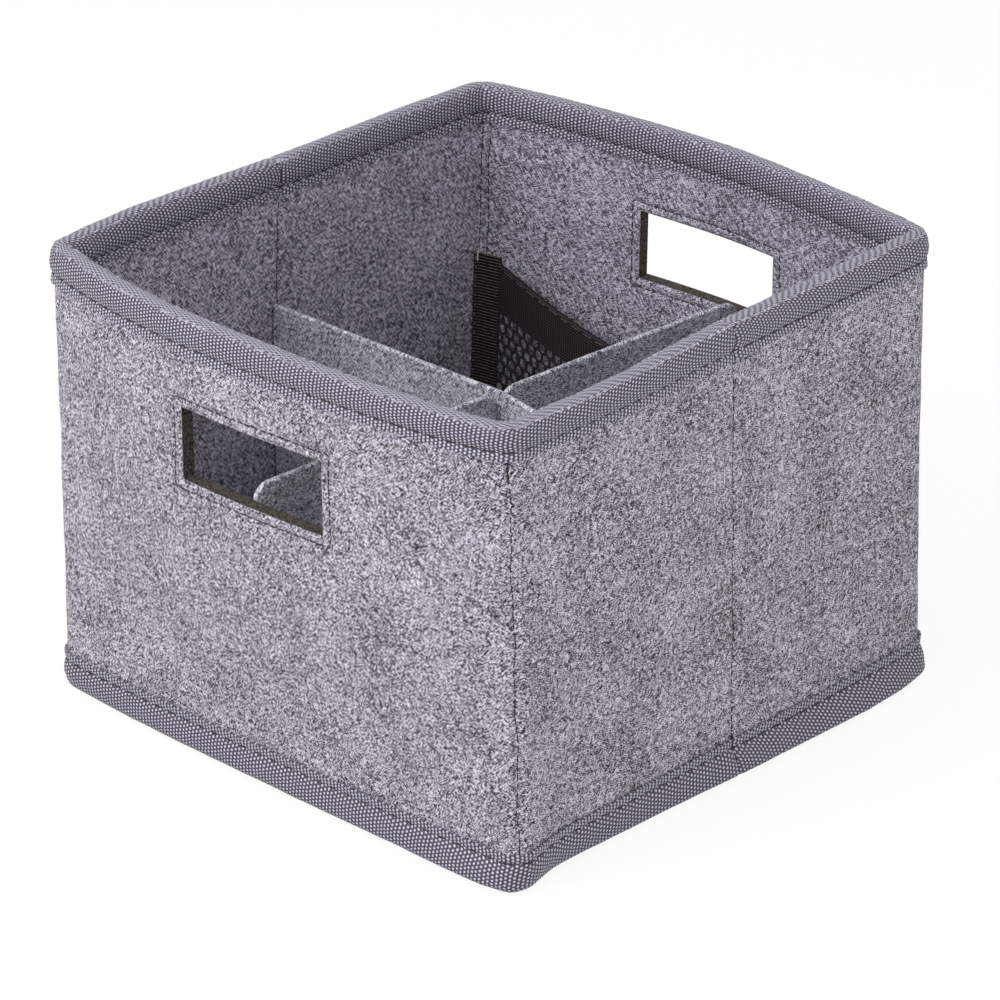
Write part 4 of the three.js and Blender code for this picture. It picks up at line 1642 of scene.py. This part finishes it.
@dataclass
class Dividers:
    """Two felt sheets, slotted together, that stand loose in the box and lift out as one."""

    plan: WallPlan
    thickness: float = 3.0
    bottom: float = 2.3
    top: float = 155.3
    cross_drop: float = 0.3
    slot_level: float = 78.8
    slot_room: float = 0.2
    slot_half: float = 1.9
    corner: float = 9.0
    clearance: float = 0.5
    centre: tuple[float, float] = (6.2, -3.2)
    long_yaw: float = -0.9
    cross_yaw: float = -4.2
    half_length: float = 150.0
    long_sway: float = 6.3
    sway_start: float = 26.0
    cross_flex: tuple[float, float] = (1.2, -2.4)
    flex_from: float = 20.0
    flex_over: float = 100.0
    notch_level: float = 21.3
    notch_depth: float = 1.3
    notch_reach: float = 12.0
    edge_rounding: float = 1.2
    edge_thinning: float = 0.9
    soft_waves: float = 0.12
    row_steps: tuple[float, float, float] = (5.0, 0.5, 1.5)
    column_steps: tuple[float, float, float] = (0.035, 0.004, 0.012)
    cloth_start: tuple[float, float] = (600.0, 900.0)
    nap_density: float = 40000.0
    nap_length: float = 0.9

    def build(self) -> None:
        """Builds both sheets with their fibres, riding on the divider set."""
        nap = NapTree("divider_fibres")
        for number, (name, cross) in enumerate((("long_divider", False), ("cross_divider", True))):
            made, skin = self._sheet(name, cross)
            fibres = nap.run(f"{name}_fibres", skin, DIVIDER_NAP, Density=self.nap_density,
                             Seed=40 + number, Length=self.nap_length * MM)
            for piece, nodes in ((made, [name]), (fibres, [])):
                place_rigid(piece, "divider_set", nodes)
                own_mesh(piece)

    def _end(self, cross: bool, sign: int, height: np.ndarray) -> np.ndarray:
        """Distance from the crossing to the sheet's end at a level, along the sheet."""
        turn = math.radians(self.cross_yaw if cross else self.long_yaw)
        side, across = (Side.RIGHT if sign > 0 else Side.LEFT), 0.0
        if cross:
            side = Side.REAR if sign > 0 else Side.FRONT
            across = self.centre[0] - sign * self.half_length * math.sin(turn)
        axis = 1 if cross else 0
        wall = self.plan.place(self.plan.along(side, across), height, -SIZES.wall / 2)[..., axis]
        return (wall - sign * self.clearance - self.centre[axis]) / math.cos(turn)

    def _sheet(self, name: str, cross: bool) -> tuple[bpy.types.Object, bpy.types.Mesh]:
        """Builds one sheet.

        Args:
            name: the sheet's name.
            cross: whether it is the cross sheet, which is slotted from above.

        Returns:
            The piece, and a copy of its mesh for the fibres.
        """
        top = self.top - (self.cross_drop if cross else 0)
        slot = self.slot_level + (-self.slot_room if cross else self.slot_room)
        up = spaced(self.bottom, top, [slot, self.notch_level], [self.bottom, top, slot, top - self.corner],
                    *self.row_steps)[None, :]
        share = spaced(0, 1, [], [0, 1], *self.column_steps)[:, None]
        start, stop = self._end(cross, -1, up), self._end(cross, 1, up)
        along = np.concatenate([start + (-self.slot_half - start) * share, np.zeros_like(up),
                                self.slot_half + (stop - self.slot_half) * share])
        height = np.broadcast_to(up, along.shape).copy()
        middle = np.abs(centres(along)[:, :-1]) < self.slot_half
        level = centres(up[0])
        kept = ~(middle & ((level > slot) if cross else (level < slot)))
        self._round_corners(along, height, top, cross)
        front, back = self._faces(along, height, cross)
        uv = np.stack([along, height + self.cloth_start[cross]], axis=-1)
        made = welded(closed_sheet(name + "_dressed", DIVIDER_FELT, front, back, uv, kept, self.thickness))
        return made, made.data.copy()

    def _round_corners(self, along: np.ndarray, height: np.ndarray, top: float, cross: bool) -> None:
        """Rounds the cross sheet's upper corners, and draws both sheets back from the base tape."""
        for row, sign in ((0, -1), (-1, 1)):
            off = np.abs(along - along[row])
            if cross:
                self._round(height, off, off < self.corner, top)
            low = height <= self.notch_level - 0.01
            along[low] -= (sign * self.notch_depth * np.clip(1 - off / self.notch_reach, 0, 1))[low]
        if cross:
            beside = np.abs(along) - self.slot_half
            self._round(height, beside, (beside >= -0.01) & (beside < self.corner), top)

    def _round(self, height: np.ndarray, off: np.ndarray, near: np.ndarray, top: float) -> None:
        """Rounds an upper corner, by the distance from the edge that comes up to it."""
        low = top - self.corner
        fall = np.sqrt(np.maximum(self.corner ** 2 - (self.corner - np.clip(off, 0, None)) ** 2, 0))
        rounded = near & (height > low)
        height[rounded] = (low + (height - low) * fall / self.corner)[rounded]

    def _faces(self, along: np.ndarray, height: np.ndarray, cross: bool) -> tuple[np.ndarray, np.ndarray]:
        """The sheet's two faces in their place in the box, their edges rounded."""
        edge = np.minimum.reduce([along - along[0], along[-1] - along, height - self.bottom,
                                  height.max(axis=1, keepdims=True) - height])
        inside = np.clip(self.edge_rounding - edge, 0, self.edge_rounding)
        fall = self.edge_rounding - np.sqrt(self.edge_rounding ** 2 - inside ** 2)
        waves = self.soft_waves * hollows(along * 2, height, 31 if cross else 32)
        half = self.thickness / 2 - fall * self.edge_thinning + waves
        turn = math.radians(self.cross_yaw + 90 if cross else self.long_yaw)
        ahead = np.array([math.cos(turn), math.sin(turn), 0])
        left = np.array([-math.sin(turn), math.cos(turn), 0])
        if cross:
            near, far = self.cross_flex
            flex = np.where(along > 0, far, near) * (along / self.half_length) ** 2
        else:
            flex = -self.long_sway * np.tanh((np.clip(along, 0, None) / self.sway_start) ** 1.5)
        flex = flex * np.clip((height - self.flex_from) / self.flex_over, 0, 1)
        base = np.array([*self.centre, 0]) + along[..., None] * ahead
        base[..., 2] += height
        return base + (flex + half)[..., None] * left, base + (flex - half)[..., None] * left


@dataclass
class NetPocket:
    """A net pocket with a wide elastic mouth, sewn to the rear wall at the back left corner."""

    plan: WallPlan
    floor: float = 21.8
    height: float = 135.9
    left: float = -128.0
    right: float = 8.5
    gap: float = 0.3
    stand_off: float = 23.1
    stand_off_power: float = 0.38
    droop: float = 16.3
    droop_power: float = 0.59
    peak: float = 0.74
    swell: float = 1.52
    elastic_width: float = 26.0
    elastic_length: float = 140.0
    elastic_thickness: float = 1.2
    hem: tuple[tuple[float, float, float], ...] = ((0.7, 1.1, 0.9), (-0.3, 2.5, 0.5))
    gather: float = 0.25
    gathers: float = 95.0
    gather_reach: float = 9.0
    seam_drop: float = 2.6
    net_thickness: float = 1.0
    net_tuck: float = 1.0
    cell_wide: float = 6.0
    cell_high: float = 5.7
    cell_kink: float = 0.7
    hole_share: float = 0.85
    tape_thickness: float = 0.9
    tape_rows: int = 60
    bevel: float = 0.6
    edge_share: float = 0.35
    tape_overrun: float = 3.3
    tape_end: float = 137.7
    tape_apex: float = 4.0
    end_tape: tuple[float, float] = (13.2, 8.8)
    thread_end: tuple[tuple[float, float], ...] = ((-2.4, 2.4), (-0.8, 0.0), (0.6, -3.2))

    @property
    def back(self) -> float:
        """Depth of the pocket's sewn edges from the wall's middle."""
        return -(SIZES.wall / 2 + self.gap)

    def place(self, along: np.ndarray, level: np.ndarray, depth: np.ndarray) -> np.ndarray:
        """Places on the pocket's sheet, in the box.

        Args:
            along: share of the way from the corner tape to the end tape.
            level: level before the mouth droops.
            depth: how far the place is proud of the sheet's back.

        Returns:
            The points, in millimetres.
        """
        past = (along - self.peak) / (1 - self.peak)
        near = 1 - np.clip(1 - along / self.peak, 0, 1) ** self.swell
        share = np.where(along < self.peak, near, np.cos(math.pi / 2 * np.clip(past, 0, 1)))
        rise = np.clip((level - self.floor) / (self.height - self.floor), 0, None)
        down = level - self.droop * share * rise ** self.droop_power
        x = self.left + (self.right - self.left) * along
        points = self.plan.place(self.plan.along(Side.REAR, x), down, self.back - depth)
        points[..., 1] -= self.stand_off * share * rise ** self.stand_off_power
        return points

    def build(self) -> None:
        """Builds the elastic, the net, the two tapes and their sewing."""
        self._elastic()
        self._net()
        self._corner_tape()
        self._end_tape()

    def _settle(self, made: bpy.types.Object, nodes: Sequence[str] = ()) -> None:
        """Puts a soft piece on the rear wall, riding on it, with a mesh of its own."""
        place_rigid(made, "rear_wall", nodes)
        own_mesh(made)

    def _elastic(self) -> None:
        """Builds the elastic band with its rolled upper edge, and the pale line of sewing on it."""
        low = self.height - self.elastic_width
        level = np.array([low, low + 0.3, *np.linspace(low + 1, self.height - 4, 12),
                          *(self.height - drop for drop in (3, 2.4, 1.6, 0.8, 0.2, 0))])
        a, z = np.meshgrid(np.linspace(0, 1, 90), level, indexing="ij")
        from_top = self.height - z
        hem = sum(size * bell(from_top - place, width) for size, place, width in self.hem)
        thin = np.minimum(1, 0.4 + np.minimum(from_top, z - low) / 0.4)
        gather = self.gather * np.sin(a * self.gathers) * bell(from_top, self.gather_reach)
        front = self.place(a, z, self.elastic_thickness * thin + hem + gather)
        back = self.place(a, z, gather * 0.8)
        made = closed_sheet("pocket_elastic_dressed", BLACK_ELASTIC, front, back,
                            np.stack([a * self.elastic_length, z], axis=-1))
        self._settle(made, ["pocket_elastic"])
        line = np.linspace(0.01, 0.99, 120)
        seam = Seam(self.place(line, self.height - self.seam_drop, 1.0),
                    np.tile((0.2, -0.9, 0.3), (len(line), 1)))
        made = StitchTree("elastic_stitches").sew("pocket_elastic_stitches", [seam], PINK_THREAD,
                                                  ELASTIC_STITCH)
        self._settle(made)

    def _net(self) -> None:
        """Builds the net, a honeycomb of cells over the pocket's sheet, each with a hole."""
        top = self.height - self.elastic_width + self.net_tuck
        halves = 2 * round((self.right - self.left) / self.cell_wide)
        rows = round((top - self.floor) / self.cell_high)
        column, row = np.meshgrid(np.arange(halves + 1), np.arange(rows + 1), indexing="ij")
        inside = (row > 0) & (row < rows)
        kink = np.where((column + row) % 2 == 0, 1, -1) * self.cell_kink * inside
        points = self.place(column / halves, self.floor + (top - self.floor) * row / rows + kink, 0.0)
        cells = []
        for j in range(rows):
            stops = sorted({0, halves, *range(j % 2, halves + 1, 2)})
            for a, b in zip(stops, stops[1:]):
                lower = [i * (rows + 1) + j for i in range(a, b + 1)]
                cells.append(tuple(lower + [i + 1 for i in reversed(lower)]))
        mesh = bpy.data.meshes.new("net_cells")
        mesh.from_pydata((points.reshape(-1, 3) * MM).tolist(), [], cells)
        made = NetTree("knitted_net").run("pocket_net_dressed", mesh, NET_YARN, Hole_share=self.hole_share,
                                          Thickness=self.net_thickness * MM, Rounding=1)
        self._settle(made, ["pocket_net"])

    def _strip(self, name: str, finish: Finish, ends: tuple[float, float], columns: int,
               top: float) -> bpy.types.Object:
        """Builds a flat tape on the lining.

        Args:
            name: the tape's name.
            finish: its finish.
            ends: its two edges, as distances round the box.
            columns: how many places its grid has from edge to edge.
            top: the level of its upper end.

        Returns:
            The tape.
        """
        low, high = ends
        distance, height = np.meshgrid(np.linspace(low, high, columns),
                                       np.linspace(self.floor, top, self.tape_rows), indexing="ij")
        bevel = np.clip(np.minimum(distance - low, high - distance) / self.bevel, self.edge_share, 1)
        front = self.plan.place(distance, height, self.back - self.tape_thickness * bevel)
        back = self.plan.place(distance, height, self.back)
        return closed_sheet(f"{name}_dressed", finish, front, back, np.stack([distance, height], axis=-1))

    def _corner_tape(self) -> None:
        """Builds the herringbone tape in the corner, its pale sewing and a loose end of thread."""
        ends = self.plan.along(Side.REAR, self.left), self.plan.along(Side.LEFT, self.tape_end)
        top = self.height + self.tape_overrun
        fold = self.plan.middles[Side.REAR] + SIZES.to_corner(Side.REAR)
        apex = fold + self.tape_apex
        finish = Herringbone("black_herringbone_tape", apex=apex)
        made = self._strip("pocket_corner_tape", finish, ends, 26, top)
        place_blended(made, ["pocket_corner_tape"])
        depth = self.back - self.tape_thickness
        height = np.arange(self.floor + 1, top - 1, SEAM_STEP)
        line = Seam(self.plan.place(apex, height, depth - 0.1), -self.plan.facing(apex, height))
        dots = StitchTree("corner_dots").sew("pocket_corner_stitches", [line], PINK_THREAD, CORNER_DOT)
        place_blended(dots)
        off, rise = np.array(self.thread_end).T
        tail = self.plan.place(fold + off, top + rise, depth - 0.6)
        end = Seam(tail, np.tile((0.3, -0.9, 0.3), (len(tail), 1)))
        made = StitchTree("thread_end").sew("pocket_thread_end", [end], WHITE_THREAD, THREAD_END)
        place_blended(made)

    def _end_tape(self) -> None:
        """Builds the tape at the net's other end, behind the cross divider."""
        low, high = (self.plan.along(Side.REAR, x) for x in self.end_tape)
        finish = Herringbone("black_end_tape", apex=low)
        made = self._strip("pocket_end_tape", finish, (low, high), 8, self.height)
        place_rigid(made, "rear_wall", ["pocket_end_tape"])


@dataclass
class BaseSheet:
    """The felt floor of the box, drawn in a little from the base tape's outer face."""

    plan: WallPlan
    thickness: float = 2.0
    edge_thickness: float = 1.5
    inset: float = 8.6
    steps: int = 401
    rings: tuple[float, ...] = (1.0, 0.985, 0.9, 0.75, 0.6, 0.45, 0.3, 0.15, 0.0)

    def build(self) -> None:
        """Builds the sheet, riding on the front wall, with a mesh of its own."""
        rim = self.plan.place(np.linspace(0, SIZES.around, self.steps), 0.0, SIZES.tape_half - self.inset)
        grid = np.stack([rim * share for share in self.rings])
        top = grid.copy()
        top[..., 2] = self.thickness
        top[0, :, 2] = self.edge_thickness
        made = welded(closed_sheet("base_sheet_dressed", LINING_FELT, top, grid, grid[..., :2]))
        place_rigid(made, "front_wall", ["base_sheet"])
        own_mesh(made)


@dataclass
class Studio:
    """A white floor and background, soft lamps and the camera of the photograph."""

    camera_place: tuple[float, float, float] = (1.4392, -1.5895, 1.1257)
    camera_azimuth: float = 42.066
    camera_elevation: float = 25.681
    lens: float = 180.0
    sensor: float = 36.0
    floor_half: float = 4.0
    floor_shade: str = "#e4e4e4"
    floor_white: float = 1.055
    floor_share: float = 0.86
    fill: float = 0.38
    aim_height: float = 0.1

    def build(self) -> None:
        """Builds the camera, the floor, the lamps and the world."""
        self._camera()
        self._floor()
        self._lamp("key_lamp", (-0.5, -1.7, 1.5), 1.6, 33.0)
        self._lamp("side_lamp", (1.9, -0.3, 0.85), 1.3, 11.0)
        self._lamp("top_lamp", (0.0, 0.0, 2.0), 1.6, 9.0)
        self._world()
        bpy.context.scene.view_settings.view_transform = "Standard"

    def _camera(self) -> None:
        """Builds the camera."""
        data = bpy.data.cameras.new("photograph_camera")
        data.lens, data.sensor_width = self.lens, self.sensor
        data.clip_start, data.clip_end = 0.05, 50.0
        camera = bpy.data.objects.new("photograph_camera", data)
        camera.location = self.camera_place
        camera.rotation_euler = (math.radians(90 - self.camera_elevation), 0,
                                 math.radians(self.camera_azimuth))
        bpy.context.scene.collection.objects.link(camera)
        bpy.context.scene.camera = camera

    def _lamp(self, name: str, place: tuple[float, float, float], size: float, power: float) -> None:
        """Builds a soft square lamp that looks at the box.

        Args:
            name: the lamp's name.
            place: where it hangs, in metres.
            size: its side, in metres.
            power: its power, in watts.
        """
        data = bpy.data.lights.new(name, "AREA")
        data.shape, data.size, data.energy = "SQUARE", size, power
        lamp = bpy.data.objects.new(name, data)
        lamp.location = place
        aim = Vector((0.0, 0.0, self.aim_height)) - Vector(place)
        lamp.rotation_euler = aim.to_track_quat("-Z", "Y").to_euler()
        bpy.context.scene.collection.objects.link(lamp)

    @staticmethod
    def _seen(add: NodeAdder) -> bpy.types.Node:
        """Adds a switch that is one for what the camera sees, straight or by way of a gloss."""
        path = add("ShaderNodeLightPath")
        seen = add("ShaderNodeMath", {0: path.outputs["Is Camera Ray"], 1: path.outputs["Is Glossy Ray"]},
                   operation="ADD")
        return add("ShaderNodeMath", {0: seen, 1: path.outputs["Is Transmission Ray"]},
                   operation="ADD", use_clamp=True)

    def _floor(self) -> None:
        """Builds the floor: white to the camera, pale to the lamps, with the box's faint shadow."""
        mesh = bpy.data.meshes.new("studio_floor")
        half = self.floor_half
        corners = [(-half, -half, 0), (half, -half, 0), (half, half, 0), (-half, half, 0)]
        mesh.from_pydata(corners, [], [(0, 1, 2, 3)])
        made = bpy.data.materials.new("white_paper_floor")
        made.use_nodes = True
        made.node_tree.nodes.clear()
        add = partial(add_node, made.node_tree)
        share = add("ShaderNodeMath", {0: self._seen(add), 1: self.floor_share}, operation="MULTIPLY")
        paper = add("ShaderNodeBsdfDiffuse", {"Color": linear(self.floor_shade)})
        white = add("ShaderNodeEmission", {"Color": (1, 1, 1, 1), "Strength": self.floor_white})
        mixed = add("ShaderNodeMixShader", {0: share, 1: paper, 2: white})
        add("ShaderNodeOutputMaterial", {"Surface": mixed})
        new_object("studio_floor", mesh, made)

    def _world(self) -> None:
        """Builds the world: white where the camera sees it, a soft grey fill elsewhere."""
        world = bpy.data.worlds.new("white_studio")
        bpy.context.scene.world = world
        world.use_nodes = True
        world.node_tree.nodes.clear()
        add = partial(add_node, world.node_tree)
        fill, white = (add("ShaderNodeBackground", {"Color": (1, 1, 1, 1), "Strength": strength})
                       for strength in (self.fill, 1.0))
        mixed = add("ShaderNodeMixShader", {0: self._seen(add), 1: fill, 2: white})
        add("ShaderNodeOutputWorld", {"Surface": mixed})


SLUMP = {
    Side.FRONT: (
        (-144.8, 0.8, 1.2, 0.8, 3.0, 0.5, 3.8),
        (-100.0, 1.0, 0.0, 0.3, 1.0, -0.5, 1.5),
        (-43.0, 1.0, -0.5, 0.0, 0.4, -1.0, 1.0),
        (0.0, 1.5, -1.2, 0.0, 0.4, -2.0, 1.7),
        (40.0, 2.0, -2.0, -0.5, 0.0, -3.0, 2.1),
        (75.0, 2.5, -2.6, -0.8, -1.0, -4.0, 0.5),
        (107.0, 3.0, -3.2, -1.0, -1.8, -5.0, -0.7),
        (125.0, 3.3, -3.3, -1.3, -2.4, -5.8, -1.9),
        (144.8, 3.6, -2.8, -1.6, -1.6, -7.0, -1.2),
    ),
    Side.RIGHT: (
        (-122.0, -3.6, -1.5, -2.0, -1.0, -5.8, -0.5),
        (-102.0, -3.4, 0.0, -1.5, -0.5, -3.6, 0.0),
        (-60.0, -2.0, 0.0, -1.0, 0.0, -3.0, 0.0),
        (-25.0, -0.8, 0.0, -1.5, 0.0, -4.6, 0.0),
        (3.0, 0.3, 0.0, -1.8, 0.0, -4.6, 0.0),
        (40.0, 1.2, 0.0, -2.5, 0.0, -7.0, 0.0),
        (85.0, 2.0, -0.5, -2.5, -0.5, -5.6, -0.5),
        (122.0, 2.8, -1.5, -2.5, -1.0, -4.8, -1.0),
    ),
    Side.REAR: (
        (144.8, 2.8, -3.5, -2.8, -1.6, -4.2, -1.9),
        (110.0, 0.8, -1.0, -2.0, -1.0, -3.2, -1.2),
        (66.0, 0.5, 0.0, -1.0, -0.5, -2.0, -1.0),
        (12.0, 0.0, 0.0, 0.5, 0.8, 0.5, 1.8),
        (-60.0, 0.0, 0.0, 1.5, 1.0, 2.5, 2.2),
        (-115.0, 0.0, 0.0, 2.2, 1.8, 4.6, 3.7),
        (-144.8, 0.0, 0.0, 2.5, 2.0, 5.5, 4.2),
    ),
    Side.LEFT: (
        (97.0, 0.0, 0.0, 0.5, 1.5, 2.4, 4.0),
        (55.0, 0.0, 0.0, -0.5, 1.5, 1.9, 4.0),
        (20.0, 0.0, 0.0, -1.5, 1.5, 2.0, 3.8),
        (-1.0, 0.0, 0.0, -2.0, 1.5, 1.0, 3.6),
        (-39.0, 0.0, 0.3, -1.0, 1.8, -1.4, 3.6),
        (-95.0, 0.3, 0.6, -0.5, 2.2, -3.6, 3.6),
        (-125.0, 0.6, 1.0, 0.4, 2.6, -1.6, 3.7),
    ),
}

RIM_SAG = {
    Side.FRONT: ((-144.8, 0.0), (-27.0, 0.8), (5.0, 0.9), (36.0, 2.2), (78.0, 2.5), (106.0, 3.4),
                 (144.8, 3.4)),
    Side.RIGHT: ((-108.0, 3.1), (-75.0, 2.5), (-41.0, 1.4), (-8.0, 0.6), (2.0, 0.0), (25.0, 1.8), (60.0, 1.5),
                 (120.0, 0.0)),
    Side.REAR: ((144.8, 0.0), (-144.8, 0.0)),
    Side.LEFT: ((0.0, 0.0),),
}

BASE_FLARE = {
    Side.FRONT: ((-144.8, -0.5), (-120.0, 0.3), (-60.0, 2.0), (20.0, 2.5), (80.0, 3.0), (110.0, 4.2),
                 (130.0, 4.6), (142.0, 2.4)),
    Side.RIGHT: ((-142.0, 0.0), (-134.0, -0.3), (-122.0, 0.0), (-105.0, 1.2), (-90.0, 1.8), (-60.0, 2.4),
                 (-20.0, 4.0), (0.0, 5.2), (50.0, 6.5), (90.0, 8.0), (118.0, 6.5), (140.0, 3.0)),
    Side.REAR: ((140.0, 1.5), (100.0, 1.5), (-144.8, 1.0)),
    Side.LEFT: ((0.0, 1.0), (-130.0, 0.0)),
}

INNER_PLEATS = (
    Pleat(Side.LEFT, 127.0, 1.6, 0.9),
    Pleat(Side.LEFT, 118.0, 1.8, 0.8),
    Pleat(Side.REAR, 126.0, 1.8, 0.8),
    Pleat(Side.RIGHT, 126.0, 1.6, 0.7),
    Pleat(Side.LEFT, -126.0, 1.6, 0.8),
    Pleat(Side.FRONT, 126.0, 1.6, 0.8),
)


def main() -> None:
    """Builds the box, piece by piece."""
    logging.basicConfig(level=logging.INFO, format="%(message)s")
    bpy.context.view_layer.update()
    plan = WallPlan(SLUMP, RIM_SAG)
    Studio().build()
    walls = FeltWalls(plan)
    walls.build()
    Boards(plan).build()
    Binding(plan, Edge.RIM, pleats=INNER_PLEATS).build()
    Binding(plan, Edge.BASE, flare=BASE_FLARE).build()
    WallSeams(plan, walls).build()
    Dividers(plan).build()
    NetPocket(plan).build()
    BaseSheet(plan).build()


if __name__ == "__main__":
    main()
